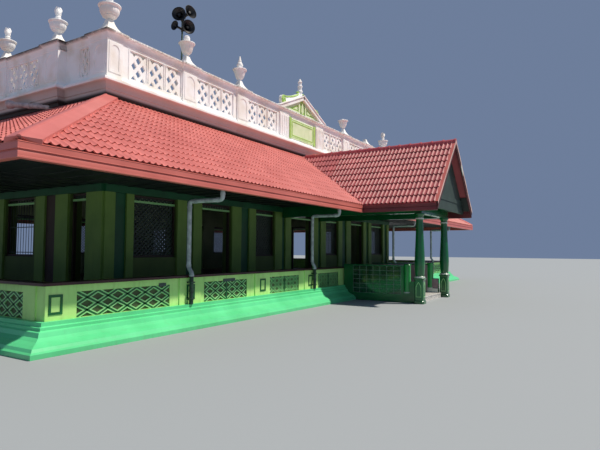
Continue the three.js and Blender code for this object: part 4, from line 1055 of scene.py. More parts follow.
def pedimentPiece():
    look = pedimentLook
    bm = bmesh.new()
    place = sideMap(hallRect, "front")
    middle = hallLength / 2
    u0, u1 = middle - pedimentHalf, middle + pedimentHalf
    addMouldings(bm, place, u0, u1)
    addBox(bm, place, u0, u1, 0, thickness, wallLow, wallHigh)
    for side in (-1, 1):
        a, b = sorted((middle + side * look["pierInner"], middle + side * look["pierOuter"]))
        addBox(bm, place, a, b, -0.05, 0.1, parapet["bottom"] - 0.002, parapet["copingBottom"] + 0.02)
        for i in range(look["flutes"]):
            centre = a + (b - a) * (i + 0.5) / look["flutes"]
            addBox(bm, place, centre - look["fluteHalf"], centre + look["fluteHalf"], -0.066, 0.0,
                   parapet["bottom"] + 0.12, parapet["copingBottom"] - 0.08)
    # Plate with lime green side strips and a sunk line, left bare
    left, right = middle - look["plateHalf"], middle + look["plateHalf"]
    low, high = look["plateBottom"], look["plateTop"]
    addBox(bm, place, left, right, -0.03, 0.05, low, high, 2)
    for a in (left, right - 0.13):
        addBox(bm, place, a, a + 0.13, -0.05, 0.0, low - 0.02, high + 0.02, 1)
    addPiercedPlate(bm, onFace(place), rectangle(left + 0.19, right - 0.19, low + 0.1, high - 0.1),
                    [rectangle(left + 0.23, right - 0.23, low + 0.14, high - 0.14)], -0.042, -0.01, 1)
    for z in (high - 0.06, low + 0.035):
        addBox(bm, place, left + 0.15, right - 0.15, -0.036, 0.0, z, z + 0.025, 1)
    # Tympanum with sunk triangles and a leaf
    base, apex, rake = parapet["top"] - 0.01, look["apex"], look["rake"]
    fromMiddle = lambda x, z, depth: place(middle + x, depth, z)
    addSlab(bm, fromMiddle, [(-pedimentHalf, base), (pedimentHalf, base), (0, apex - 0.01)], 0.03,
            thickness, 1)
    for side in (-1, 1):
        toWorld = lambda x, z, depth: place(middle + side * x, depth, z)
        triangle = lambda x, z, long: [(x, z), (x + long, z), (x, z + long * tympanumSlope)]
        addPiercedPlate(bm, toWorld, triangle(0.2, base + 0.05, 1.16), [triangle(0.3, base + 0.11, 0.7)],
                        -0.02, 0.03, 2)
        addSlab(bm, toWorld, triangle(0.39, base + 0.17, 0.31), -0.01, 0.03, 2)
        top = [(pedimentHalf, base), (pedimentHalf, base + 0.05), (-0.04, apex + 0.04), (-0.04, apex - rake),
               (pedimentHalf - rake / tympanumSlope, base)]
        addSlab(bm, toWorld, top, -look["reach"], thickness)
        lip = [(pedimentHalf, base + 0.012), (pedimentHalf, base + 0.05), (-0.04, apex + 0.045),
               (-0.04, apex)]
        addSlab(bm, toWorld, lip, -look["reach"] - 0.035, thickness)
        addScroll(bm, side)
    addSlab(bm, fromMiddle, [(x, base + z) for x, z in look["leaf"]], -0.02, 0.03, 2)
    # Finial: a banded spike over green leaves
    spot = place(middle, thickness / 2, apex - 0.06)
    addLathe(bm, look["stem"], spot, 16)
    for side in (-1, 1):
        for reach, lift, size in look["petals"]:
            centre = spot + Vector((side * reach, 0, lift))
            addSlab(bm, lambda x, z, depth: centre + Vector((side * x * size, depth, z * size)),
                    look["petal"], -0.045, 0.045, 1)
    finishPiece("entrance_pediment_plaster", bm,
                [white, paint["limeGreenDistemper"], paint["paleLimeDistemper"]],
                ["entrance_pediment"], bevel=0.005)


pedimentPiece()
print("pediment built")


# Shapes drawn in the frame itself: flat ones as (x, y, z), upright ones as (x, z) with a depth
flat = lambda x, y, z: Vector((x, y, z))
upright = lambda x, z, depth: Vector((x, depth, z))


def addPlaced(target, part, place, u0, v0, z0):
    for vertex in part.verts:
        x, y, z = vertex.co
        vertex.co = place(u0 + x, v0 + y, z0 + z)
    mergeInto(target, toMesh(part, "part"))


# A strap from corner to corner of a cell, leaning right for 1 and left for -1
def addStrap(bm, wide, high, strap, sign, depth0, depth1):
    reach = Vector((wide, high)).normalized() * strap / 2
    side = Vector((-sign * reach.y, reach.x))
    corner = Vector((sign * wide / 2, high / 2))
    addSlab(bm, upright, [side - corner, side + corner, corner - side, -corner - side], depth0, depth1)


def cellMiddles(columns, rows, wide, high):
    return [Vector((wide * (i + 0.5), 0, high * (j + 0.5))) for i in range(columns) for j in range(rows)]


# Low wall: cast lattice in the sunk panels, tablets on the piers and bare sign plates
lowWall = {"panelBottom": 0.505, "panelTop": 0.97, "recess": 0.03, "cellWidth": 0.42, "rows": 2,
           "strap": 0.034, "ring": 0.018, "clip": 0.002, "splitUnder": 1.9, "relief": 0.025,
           "tabletHalf": 0.13, "tabletBottom": 0.6, "tabletTop": 0.945, "tabletBorder": 0.045,
           "cornerTablet": 0.19,
           "panels": [(0.61, 2.88), (3.98, 5.64), (6.69, 8.28), (9.49, 10.97)], "piers": [3.5, 6.33, 8.95],
           "sidePanels": [(0.56, 2.88), (3.98, 5.64)], "sideCentre": 6.9, "sidePiers": [3.5, 6.33],
           "backCentre": 11.6, "signs": [(2.66, 0.2), (4.9, 0.46)]}


def clipBetween(bm, planes):
    for point, normal in planes:
        geometry = [*bm.verts, *bm.edges, *bm.faces]
        cut = bmesh.ops.bisect_plane(bm, geom=geometry, plane_co=point, plane_no=normal, clear_outer=True)
        edges = [e for e in cut["geom_cut"] if isinstance(e, bmesh.types.BMEdge)]
        bmesh.ops.holes_fill(bm, edges=edges)


def addLattice(target, place, u0, u1):
    look = lowWall
    z0, z1, rows, strap, recess, clip = pick(
        look, "panelBottom", "panelTop", "rows", "strap", "recess", "clip")
    columns = max(1, round((u1 - u0) / look["cellWidth"]))
    wide, high = (u1 - u0) / columns, (z1 - z0) / rows
    straps, rings, bm = bmesh.new(), bmesh.new(), bmesh.new()
    for sign in (-1, 1):
        addStrap(straps, wide, high, strap, sign, -0.021, 0.0)

    def diamond(edge):
        half = 0.5 - 0.65 * edge / high
        return [(-wide * half, 0), (0, -high * half), (wide * half, 0), (0, high * half)]

    addPiercedPlate(rings, upright, diamond(strap), [diamond(strap + 2 * look["ring"])], -0.026, 0.0)
    centres = [Vector((wide * i, 0, high * (j + 0.5))) for i in range(columns + 1) for j in range(rows)]
    centres += [Vector((wide * (i + 0.5), 0, high * j)) for i in range(columns) for j in range(rows + 1)]
    repeatInto(bm, straps, cellMiddles(columns, rows, wide, high), paint["latticeGreenEnamel"])
    repeatInto(bm, rings, centres, paint["paleLatticeEnamel"], 1)
    clipBetween(bm, [((clip, 0, 0), (-1, 0, 0)), ((u1 - u0 - clip, 0, 0), (1, 0, 0)),
                     ((0, 0, clip), (0, 0, -1)), ((0, 0, z1 - z0 - clip), (0, 0, 1))])
    addPlaced(target, bm, place, u0, recess - 0.0005, z0)
    addBox(target, place, u0 + 0.001, u1 - 0.001, recess - 0.004, recess + 0.004, z0 + 0.001, z1 - 0.001, 2)


def addTablet(bm, place, centre):
    look = lowWall
    half, border, low, high = pick(look, "tabletHalf", "tabletBorder", "tabletBottom", "tabletTop")
    inner = half - border
    addPiercedPlate(bm, onFace(place), rectangle(centre - half, centre + half, low, high),
                    [rectangle(centre - inner, centre + inner, low + border, high - border)],
                    -look["relief"] - 0.012, 0.004 - look["relief"])


def latticePiece(name, side, panels, piers, signs=()):
    look = lowWall
    bm = bmesh.new()
    place = sideMap(wallRect, side)
    for a, b in panels:
        if b - a < look["splitUnder"]:
            middle = (a + b) / 2
            addLattice(bm, place, a + 0.02, middle - 0.03)
            addLattice(bm, place, middle + 0.03, b - 0.02)
            for start, end in ((middle - 0.03, middle + 0.03), (a, a + 0.02), (b - 0.02, b)):
                addBox(bm, place, start, end, 0.008, look["recess"], look["panelBottom"], look["panelTop"])
        else:
            addLattice(bm, place, a, b)
    for pier in piers:
        addTablet(bm, place, pier)
    for centre, width in signs:
        addBox(bm, place, centre - width / 2, centre + width / 2, -0.012, 0.0, 0.945, 1.015, 3)
    finishPiece(name, bm, [paint["latticeGreenEnamel"], paint["paleLatticeEnamel"],
                           paint["latticeGroundPaint"], signGrey])


wallLength, wallDepth = sideLength(wallRect, "front"), sideLength(wallRect, "left")
panels, backCentre, sideCentre = lowWall["panels"], lowWall["backCentre"], lowWall["sideCentre"]
leftPiers = [lowWall["cornerTablet"], *lowWall["piers"]]
rightPiers = [wallLength - pier for pier in leftPiers]
sideSpans = [*bothHalves(lowWall["sidePanels"], wallDepth), (sideCentre, wallDepth - sideCentre)]
sidePiers = [*lowWall["sidePiers"], *[wallDepth - pier for pier in lowWall["sidePiers"]]]
latticePiece("lattice_front_left", "front", panels, leftPiers, lowWall["signs"])
latticePiece("lattice_front_right", "front", flipped(panels, wallLength), rightPiers)
latticePiece("lattice_back", "back", [*bothHalves(panels, wallLength), (backCentre, wallLength - backCentre)],
             [*leftPiers, *rightPiers])
latticePiece("lattice_left", "left", sideSpans, sidePiers)
latticePiece("lattice_right", "right", sideSpans, sidePiers)
print("lattices built")


# Eaves boards with their gutter line
fascia = {"bottom": 3.02, "top": 3.25, "grooveLow": 3.12, "grooveHigh": 3.15, "depth": 0.12, "groove": 0.03}


def fasciaProfile():
    bottom, top, low, high, depth, groove = fascia.values()
    return [(0.006, top + 0.002), (0.0, top - 0.006), (0.0, high + 0.012), (-0.004, high + 0.008),
            (-0.004, high + 0.002), (0.0, high), (groove, high), (groove, low), (0.007, low),
            (0.004, low - 0.006), (0.006, bottom + 0.03), (0.002, bottom + 0.026), (0.002, bottom + 0.004),
            (0.008, bottom), (depth, bottom), (depth, top)]


eaveLength, eaveDepth = sideLength(eaveRect, "front"), sideLength(eaveRect, "left")
toPorch = -x0 - eave
porchRect = (-eave, porchFront, eave, y0)
porchLength = y0 - porchFront
fasciaRuns = [
    ("eaves_front_left", eaveRect, "front", 0, toPorch, 1, -1),
    ("eaves_back", eaveRect, "back", 0, eaveLength, 1, 1),
    ("eaves_front_right", eaveRect, "front", eaveLength - toPorch, eaveLength, -1, 1),
    ("eaves_left", eaveRect, "left", 0, eaveDepth, 1, 1),
    ("eaves_right", eaveRect, "right", 0, eaveDepth, 1, 1),
    ("porch_eaves_left", porchRect, "left", 0.041, porchLength, 0, -1),
    ("porch_eaves_right", porchRect, "right", 0.041, porchLength, 0, -1),
]
for node, rect, side, start, end, mitre0, mitre1 in fasciaRuns:
    bm = bmesh.new()
    addRun(bm, sideMap(rect, side), fasciaProfile(), start, end, mitre0, mitre1)
    metal = steel["darkEavesSheet"] if node.startswith("porch") else steel["salmonFlashing"]
    finishPiece(node + "_sheet", bm, [metal], [node])
print("eaves built")


# Hall walls: paint coats on pilasters, strips and beam, distemper inside
hall = {"floor": 0.508, "sill": 1.51, "head": 3.2, "beamTop": 3.389, "pilaster": 0.06, "beam": 0.09,
        "coat": 0.003, "top": 5.568}
longSide = {"start": lines["sideVeranda"], "windows": [(4.0, 5.6), (9.45, 10.69)], "doors": [(6.63, 8.12)],
            "middleDoorHalf": 0.9, "stripPaint": 1,
            "pilasters": [(3.1, 3.4), (3.77, 4.0), (5.6, 5.97), (6.27, 6.63), (8.12, 8.61), (9.06, 9.45),
                          (10.69, 11.15), (11.4, 11.8)],
            "strips": [(3.4, 3.77), (5.97, 6.27), (8.61, 9.06), (11.15, 11.4)]}
shortSide = {"start": lines["frontVeranda"], "windows": [(5.64, 7.1)], "doors": [(3.26, 3.96)],
             "middleDoorHalf": 0.8, "stripPaint": 2,
             "pilasters": [(2.6, 3.22), (4.0, 4.54), (5.04, 5.45), (7.1, 7.45)], "strips": [(4.54, 5.04)]}
hallSides = {"front": longSide, "back": longSide, "left": shortSide, "right": shortSide}


def hallSpans(key, side):
    form = hallSides[side]
    return bothHalves(shifted(form[key], form["start"]), sideLength(hallRect, side))


def hallDoors(side):
    middle, half = sideLength(hallRect, side) / 2, hallSides[side]["middleDoorHalf"]
    return [*hallSpans("doors", side), (middle - half, middle + half)]


def paintHall(side):
    length = sideLength(hallRect, side)
    place = sideMap(hallRect, side)
    low, head, coat, beam = pick(hall, "floor", "head", "coat", "beam")
    bm = bmesh.new()
    for a, b in hallSpans("pilasters", side):
        addBox(bm, place, max(a, 0.0) - coat, min(b, length) + coat, -hall["pilaster"] - coat, 0.001, low,
               head)
    for a, b in hallSpans("strips", side):
        addBox(bm, place, a, b, -coat, 0.001, low, head, hallSides[side]["stripPaint"])
    addBox(bm, place, -coat, length + coat, -beam - coat, 0.001, head - coat, hall["beamTop"], 1)
    holes = [rectangle(a, b, hall["sill"], head) for a, b in hallSpans("windows", side)]
    holes += [rectangle(a, b, low - 0.1, head) for a, b in hallDoors(side)]
    inside = lines["wallThickness"]
    addPiercedPlate(bm, onFace(place), rectangle(inside, length - inside, low, hall["top"]), holes,
                    inside - 0.001, inside + coat, 3)
    finishPiece("hall_paint_" + side, bm, [paint["lightGreenEmulsion"], paint["darkGreenEmulsion"],
                                           paint["brownEmulsion"], paint["interiorDistemper"]])


for side in allSides:
    paintHall(side)
print("hall walls painted")


# Timber frames, and iron grilles repeated from one crossing or one bar
grille = {"frame": 0.06, "frameFront": 0.07, "frameBack": 0.15, "transom": 3.0, "transomHeight": 0.06,
          "cellWidth": 0.15, "cellHeight": 0.13, "strap": 0.046, "strapDepth": 0.012, "depth": 0.1,
          "barPitch": 0.13, "bar": 0.008, "railHeight": 0.012, "rails": (0.04, 0.5, 0.96), "lap": 0.004}


def addFrame(bm, place, u0, u1, z0, sill):
    look = grille
    thick, v0, v1, rail = pick(look, "frame", "frameFront", "frameBack", "transom")
    top = hall["head"]
    hole = rectangle(u0 + thick, u1 - thick, z0 + thick if sill else z0 - 0.1, top - thick)
    addPiercedPlate(bm, onFace(place), rectangle(u0, u1, z0, top), [hole], v0, v1)
    addBox(bm, place, u0 + 0.01, u1 - 0.01, v0 - 0.012, v1 - 0.02, rail, rail + look["transomHeight"], 1)


def addDiagonals(bm, place, u0, u1, z0, z1):
    look = grille
    columns, rows = round((u1 - u0) / look["cellWidth"]), round((z1 - z0) / look["cellHeight"])
    wide, high = (u1 - u0) / columns, (z1 - z0) / rows
    crossing, part = bmesh.new(), bmesh.new()
    thick = look["strapDepth"]
    for sign, start in ((1, look["depth"]), (-1, look["depth"] + 0.8 * thick)):
        addStrap(crossing, wide, high, look["strap"], sign, start, start + thick)
    repeatInto(part, crossing, cellMiddles(columns, rows, wide, high), grilleEnamel)
    addPlaced(bm, part, place, u0, 0.0, z0)


def addBars(bm, place, u0, u1, z0, z1):
    look = grille
    radius, depth, half = look["bar"], look["depth"], look["railHeight"]
    count = round((u1 - u0) / look["barPitch"])
    bar, part = bmesh.new(), bmesh.new()
    addLathe(bar, [(0, 0), (radius, 0), (radius, z1 - z0), (0, z1 - z0)], Vector((0, depth, 0)), 8)
    repeatInto(part, bar, [Vector(((u1 - u0) * (i + 0.5) / count, 0, 0)) for i in range(count)], grilleEnamel)
    addPlaced(bm, part, place, u0, 0.0, z0)
    for share in look["rails"]:
        z = z0 + (z1 - z0) * share
        addBox(bm, place, u0, u1, depth - 0.005, depth + 0.005, z - half, z + half)


def fillOpenings(side):
    place = sideMap(hallRect, side)
    timber, iron = bmesh.new(), bmesh.new()
    lap = grille["lap"]
    edge = grille["frame"] - lap
    top = hall["head"] - edge
    fill = addBars if side in ("left", "right") else addDiagonals
    for a, b in hallSpans("windows", side):
        addFrame(timber, place, a, b, hall["sill"], True)
        fill(iron, place, a + edge, b - edge, hall["sill"] + edge, top)
    for a, b in hallDoors(side):
        addFrame(timber, place, a, b, hall["floor"], False)
        addBars(iron, place, a + edge, b - edge, grille["transom"] + grille["transomHeight"] - lap, top)
    finishPiece("opening_frames_" + side, timber, [frameTimber, paint["paleLatticeEnamel"]],
                bevel=0.003)
    finishPiece("grilles_" + side, iron, [grilleEnamel])


for side in allSides:
    fillOpenings(side)
print("frames and grilles set")


# Floor cast in bays, repeated from one chamfered slab, and the entrance landing
floorLook = {"bottom": 0.495, "top": 0.508, "joint": 0.004, "chamfer": 0.004, "columns": 16, "rows": 10,
             "inset": 0.225, "landingHalf": 1.176, "landingReach": 0.3}


def addBay(bm, left, near, right, far):
    top, edge = floorLook["top"], floorLook["chamfer"]
    addLoft(bm, [[Vector((x, y, z)) for x, y in rectangle(left + r, right - r, near + r, far - r)]
                 for r, z in ((0, floorLook["bottom"]), (0, top - edge), (edge, top))])


def castFloor():
    look = floorLook
    left, near, right, far = insetRect(wallRect, look["inset"], look["inset"])
    wide, long = (right - left) / look["columns"], (far - near) / look["rows"]
    halfX, halfY = (wide - look["joint"]) / 2, (long - look["joint"]) / 2
    slab, bm = bmesh.new(), bmesh.new()
    addBay(slab, -halfX, -halfY, halfX, halfY)
    spots = [Vector((left + wide * (i + 0.5), near + long * (j + 0.5), 0))
             for i in range(look["columns"]) for j in range(look["rows"])]
    repeatInto(bm, slab, spots, floorOxide)
    addBay(bm, -look["landingHalf"], wallRect[1] - look["landingReach"], look["landingHalf"], near)
    finishPiece("floor_bays", bm, [floorOxide])


castFloor()


# Ceiling battens and the boards under the slopes
ceilingLook = {"low": 3.372, "top": 3.391, "width": 0.05, "pitch": 0.6, "gap": 0.1, "frontReach": 3.05,
               "sideReach": 3.2, "soffitTop": -0.0945, "soffitBottom": -0.108, "soffitRun": (0.13, 0.8)}


def battens(side, spots, sizeX, sizeY):
    batten, bm = bmesh.new(), bmesh.new()
    addBox(batten, flat, -sizeX / 2, sizeX / 2, -sizeY / 2, sizeY / 2, ceilingLook["low"], ceilingLook["top"])
    repeatInto(bm, batten, spots, darkTimber)
    finishPiece("ceiling_battens_" + side, bm, [darkTimber])


def evenly(low, high):
    count = max(1, round((high - low) / ceilingLook["pitch"]))
    return [low + (high - low) * (i + 0.5) / count for i in range(count)]


def layCeiling():
    look = ceilingLook
    narrow, gap, frontReach, sideReach = pick(look, "width", "gap", "frontReach", "sideReach")
    left, near, right, far = hallRect
    rowX = evenly(left - sideReach, right + sideReach)
    for side, y in (("front", near - gap - frontReach / 2), ("back", far + gap + frontReach / 2)):
        battens(side, [Vector((x, y, 0)) for x in rowX], narrow, frontReach)
    middle = right + gap + sideReach / 2
    for side, x in (("left", -middle), ("right", middle)):
        battens(side, [Vector((x, y, 0)) for y in evenly(near, far)], sideReach, narrow)
    bm = bmesh.new()
    for _, *form in (*mainSlopes, *porchSlopes):
        addStrip(bm, *form, look["soffitRun"], look["soffitBottom"], look["soffitTop"])
    finishPiece("soffit_boards", bm, [darkTimber])


layCeiling()
print("floor, battens and soffits made")


# Porch columns: turned shafts on cut-cornered pedestals with arched outlines
column = {"x": 1.467, "y": -2.887, "half": 0.15, "chamfer": 0.04, "archLow": 0.22, "archTop": 0.72,
          "archHalf": 0.092, "archLine": 0.02, "archProud": 0.006,
          "foot": [(0.02, 0.0), (0.02, 0.09), (0.012, 0.102), (0.0, 0.11), (0.0, 0.78)],
          "cap": [(0.0, 0.775), (0.01, 0.782), (0.012, 0.792), (0.025, 0.797), (0.027, 0.82), (0.025, 0.843),
                  (0.012, 0.846)],
          "shaft": [(0, 0.84), (0.165, 0.84), (0.168, 0.85), (0.172, 0.87), (0.168, 0.89), (0.158, 0.896),
                    (0.146, 0.906), (0.14, 0.916), (0.143, 0.935), (0.15, 0.96), (0.158, 1.06), (0.168, 1.2),
                    (0.1705, 1.3), (0.167, 1.45), (0.157, 1.69), (0.145, 1.92), (0.134, 2.15), (0.126, 2.35),
                    (0.12, 2.58), (0.117, 2.76), (0.119, 2.776), (0.1385, 2.786), (0.1405, 2.81),
                    (0.1385, 2.834), (0.121, 2.845), (0.12, 2.86), (0.126, 2.89), (0.138, 2.91),
                    (0.158, 2.93), (0.168, 2.945), (0.1725, 2.95), (0.1725, 2.99), (0, 2.99)],
          "whiteBands": [(0.845, 0.894), (2.782, 2.842)]}


def pedestalRing(centre, reach, z):
    half = column["half"] + reach
    short = half - column["chamfer"]
    ring = [(half, short), (short, half), (-short, half), (-half, short), (-half, -short), (-short, -half),
            (short, -half), (half, -short)]
    return [centre + Vector((x, y, z)) for x, y in ring]


def pointedArch(half, z0, z1):
    spring = z0 + 0.62 * (z1 - z0)
    side = [(half * (1 - (i / 6) ** 1.7), spring + (z1 - spring) * i / 6) for i in range(7)]
    return [(-half, z0), (half, z0), *side, *[(-x, z) for x, z in reversed(side[:-1])]]


def porchColumn(name, side):
    look = column
    centre = Vector((side * look["x"], buildingFront + look["y"], 0))
    bm = bmesh.new()
    for rings in (look["foot"], look["cap"]):
        addLoft(bm, [pedestalRing(centre, reach, z) for reach, z in rings])
    addLathe(bm, look["shaft"], centre, 32)
    for face in bm.faces:
        middle = face.calc_center_median()
        isShaft = (middle - centre).xy.length < 0.2
        if isShaft and any(low < middle.z < high for low, high in look["whiteBands"]):
            face.material_index = 1
    half, low, top, line = pick(look, "archHalf", "archLow", "archTop", "archLine")
    outer, inner = pointedArch(half, low, top), pointedArch(half - line, low + line, top - 1.6 * line)
    for out in (-alongY, alongY, -alongX, alongX):
        along = Vector((-out.y, out.x, 0))
        toFace = lambda u, z, depth: centre + along * u + out * (look["half"] + depth) + Vector((0, 0, z))
        addPiercedPlate(bm, toFace, outer, [inner], -0.004, look["archProud"], 2)
    finishPiece(f"porch_column_{name}_turned", bm,
                [paint["columnEnamel"], paint["whiteEnamelBand"], paint["paleLatticeEnamel"]],
                ["porch_column_" + name], bevel=0.004)


porchColumn("left", -1)
porchColumn("right", 1)
print("porch columns turned")


# Porch side walls: glazed tiles outside, polished cement inside, a newel at the end
sideWall = {"outer": 1.4, "inner": 1.18, "front": -2.3, "back": -0.06, "top": 1.24, "tileFrom": -2.205,
            "tileTo": -0.43, "tileLow": 0.27, "tileHigh": 1.21, "columns": 7, "rows": 6, "joint": 0.012,
            "tileProud": 0.006, "grout": 0.002, "lap": 0.004, "plinthFront": -2.71, "footTop": 0.67,
            "footHalf": 0.07, "plinthTop": 0.32, "skin": 0.004, "low": 0.02, "ledgeTop": 0.26,
            "ledgeReach": 0.02, "copingDrop": 0.03, "newelY": -2.4, "newel": 0.11, "newelTop": 1.28,
            "newelFoot": 0.357}


def wallSide(name, side):
    look = sideWall
    place = lambda u, v, z: Vector((side * (look["outer"] + v), buildingFront + u, z))
    u0, u1, z0, z1, lap, skin = pick(look, "tileFrom", "tileTo", "tileLow", "tileHigh", "lap", "skin")
    front, back, top, ledge = pick(look, "front", "back", "top", "ledgeTop")
    wide, high = (u1 - u0) / look["columns"], (z1 - z0) / look["rows"]
    bm, tile, part = bmesh.new(), bmesh.new(), bmesh.new()
    rings = []
    for inset, depth in ((0.0, 0.0), (0.0, 0.004), (0.003, look["tileProud"])):
        a, b = (wide - look["joint"]) / 2 - inset, (high - look["joint"]) / 2 - inset
        rings.append([Vector((x, depth, z)) for x, z in rectangle(-a, a, -b, b)])
    addLoft(tile, rings)
    repeatInto(part, tile, cellMiddles(look["columns"], look["rows"], wide, high), tileGlaze)
    addPlaced(bm, part, place, u0, 0.0, z0)
    # Grout, ledge and end strip outside, then the skins inside and at the end, with the foot of the newel
    inner = look["inner"] - look["outer"]
    middle, half = inner / 2, look["footHalf"]
    plinthFront, plinthTop, footTop = pick(look, "plinthFront", "plinthTop", "footTop")
    for box in ((u0 - lap, u1 + lap, -0.001, look["grout"], z0 - lap, z1 + lap, 1),
                (plinthFront, back, -0.001, look["ledgeReach"], look["low"], ledge, 2),
                (u1 + lap, back, -0.001, 0.004, ledge, top - look["copingDrop"], 2),
                (front - skin, back, inner - skin, inner + 0.001, look["low"], top + 0.002, 3),
                (front - skin, front + 0.001, inner, 0.001, plinthTop, top + 0.002, 4 if side > 0 else 2),
                (front - 0.002, plinthFront - 0.002, middle - half - skin, middle - half + 0.001, plinthTop,
                 footTop + 0.003, 3),
                (front - 0.002, plinthFront - 0.002, middle - half, middle + half + 0.002, footTop - 0.001,
                 footTop + 0.03, 2),
                (front - 0.002, plinthFront - 0.002, inner - skin, inner + 0.001, look["low"],
                 plinthTop + 0.003, 4)):
        addBox(bm, place, *box)
    # Coping strip along the top of the wall
    low, depth = top - look["copingDrop"], -inner
    coping = [(-0.02, low), (depth + 0.02, low), (depth + 0.02, top + 0.004), (depth + 0.012, top + 0.012),
              (-0.012, top + 0.012), (-0.02, top + 0.004)]
    addRun(bm, lambda u, v, z: place(u, -v, z), coping, front - 0.02, back, material=2)
    # Newel with a pale foot and a domed head
    reach, head = look["newel"], look["newelTop"]
    profile = [(0, 0.316), (reach + 0.022, 0.316), (reach + 0.024, 0.335), (reach + 0.014, 0.35),
               (reach + 0.003, 0.356), (reach + 0.003, 0.362), (reach + 0.003, head - 0.04),
               (reach + 0.012, head - 0.035), (reach + 0.014, head - 0.015), (reach + 0.002, head),
               (0.6 * reach, head + 0.018), (0, head + 0.026)]
    addLathe(bm, profile, place(look["newelY"], middle, 0), 32, 5)
    for face in bm.faces:
        if face.material_index == 5 and face.calc_center_median().z < look["newelFoot"]:
            face.material_index = 4
    finishPiece("porch_wall_finish_" + name, bm, [tileGlaze, paleGrout, paint["columnEnamel"], pinkCement,
                                                  paint["whiteEnamelBand"], paint["brightGreenEnamel"]])


wallSide("left", -1)
wallSide("right", 1)


# Steps with pale nosings
stepLook = {"half": 1.179, "nosing": 0.03, "reach": 0.012,
            "edges": [(-2.82, 0.17), (-0.6, 0.34), (-0.3, 0.508)]}


def entranceSteps():
    look = stepLook
    bm = bmesh.new()
    place = lambda u, v, z: Vector((u, buildingFront + v, z))
    for v, z in look["edges"]:
        lip, under = v - look["reach"], z - look["nosing"]
        profile = [(lip, under), (lip, z - 0.002), (lip + 0.008, z + 0.006), (v + 0.05, z + 0.006),
                   (v + 0.05, z - 0.01), (v + 0.001, z - 0.01), (v + 0.001, under)]
        addRun(bm, place, profile, -look["half"], look["half"])
    finishPiece("step_nosings", bm, [stepTerrazzo])


entranceSteps()
print("porch walls and steps finished")


# Porch gable: verge boards with their flashing, ridge tiles, and bands on the gable wall
verge = {"back": 0.04, "rise": 0.043, "depth": 0.26, "topBoard": 0.62, "flashBack": 0.12,
         "flashThickness": 0.01, "flashDrop": 0.085, "flashReach": 0.012, "edgeReach": 0.006,
         "edgeStep": 0.16, "plaque": (0.65, 0.93), "plaqueDrop": 0.1, "plaqueBottom": 0.2}
porchPitch = rise / eave


def vergePiece():
    look = verge
    bm = bmesh.new()
    front = porchFront
    top = lambda x: lines["roofFoot"] + porchPitch * (eave - abs(x)) + look["rise"]
    # Boards in two layers, the lower one set back
    for depth, y in ((look["depth"], front + 0.008), (look["depth"] * look["topBoard"], front)):
        line = [(x, top(x)) for x in (-eave, 0, eave)]
        addSlab(bm, upright, line + [(x, z - depth) for x, z in reversed(line)], y, front + look["back"])
    # Flat salmon strip over the boards, its front edge turned down unevenly
    for side in (-1, 1):
        end, thick = side * (eave + look["flashReach"]), look["flashThickness"]
        inner, outer = top(0) + 0.004, top(eave) - 0.008
        addSlab(bm, upright, [(0.0, inner), (end, outer), (end, outer + thick), (0.0, inner + thick)],
                front - look["edgeReach"], front + look["flashBack"], 1)
        # The turned-down front edge is painted pale: a painted highlight of its sunlit face
        count = round(eave / look["edgeStep"])
        for i in range(count):
            a, b = eave * i / count, eave * (i + 0.96) / count
            drop = look["flashDrop"] + 0.016 * sin(7.3 * i) + 0.011 * sin(17.9 * i + side)
            y = front + 0.004 * sin(5.1 * i + side)
            edge = [(side * a, top(a) + 0.012), (side * b, top(b) + 0.012), (side * b, top(b) - drop),
                    (side * a, top(a) - drop)]
            addSlab(bm, upright, edge, y - 0.010, y - 0.003, 2)
    a, b = look["plaque"]
    high, low = look["plaqueDrop"], look["plaqueBottom"]
    addSlab(bm, upright, [(a, top(a) - high), (b, top(b) - high), (b, top(b) - low), (a, top(a) - low)],
            front - 0.014, front + 0.002, 3)
    finishPiece("porch_verge_finish", bm, [vergeMaroon, steel["salmonFlashing"], steel["paleFlashingEdge"],
                                           paint["whiteEnamelBand"]], ["porch_verge_boards"])


ridgeLook = {"lap": 0.006, "tile": 0.4, "drop": 0.05, "skirt": 0.07, "arch": 1.12, "segments": 10,
             "sections": [(0.0, 0.128), (0.03, 0.136), (0.06, 0.132), (0.07, 0.118)], "end": 0.11}


def ridgePiece():
    look = ridgeLook
    start, end = porchFront - look["lap"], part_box("porch_ridge_cap")[1].y
    count = round((end - start) / look["tile"])
    length = (end - start) / count
    tile, bm = bmesh.new(), bmesh.new()
    rings = []
    for along, radius in [*look["sections"], (length, look["end"])]:
        arch = arcPoints((0, 0), radius, look["arch"] * radius, 0, 180, look["segments"])
        rings.append([Vector((x, along, z)) for x, z in [
            (radius, -look["skirt"]), *arch, (-radius, -look["skirt"])]])
    addLoft(tile, rings)
    base = lines["roofTop"] - look["drop"]
    spots = [Vector((0, start + length * i, base)) for i in range(count)]
    repeatInto(bm, tile, spots, steel["redRidgeSheet"])
    finishPiece("porch_ridge_tiles", bm, [steel["redRidgeSheet"]], ["porch_ridge_cap"])


gableLook = {"face": -3.42, "band": (3.502, 3.658), "skin": 0.004, "under": 0.13, "low": 3.168, "edge": 0.035,
             "edgeInset": 0.125, "edgeBack": 0.012, "edgeDepth": 0.03}


def gableBands():
    look = gableLook
    bm = bmesh.new()
    y = buildingFront + look["face"]
    halfAt = lambda z: eave - (z + look["under"] - lines["roofFoot"]) / porchPitch
    low, high = look["band"]
    wide, narrow = halfAt(low), halfAt(high)
    addSlab(bm, upright, [(-wide, low), (wide, low), (narrow, high), (-narrow, high)], y - look["skin"],
            y + 0.001)
    half, face = eave - look["edgeInset"], y + look["edgeBack"]
    addSlab(bm, upright, rectangle(-half, half, look["low"], look["low"] + look["edge"]), face,
            face + look["edgeDepth"])
    finishPiece("porch_gable_bands", bm, [paint["darkGreenEmulsion"]])


vergePiece()
ridgePiece()
gableBands()
print("verges, ridge and gable finished")


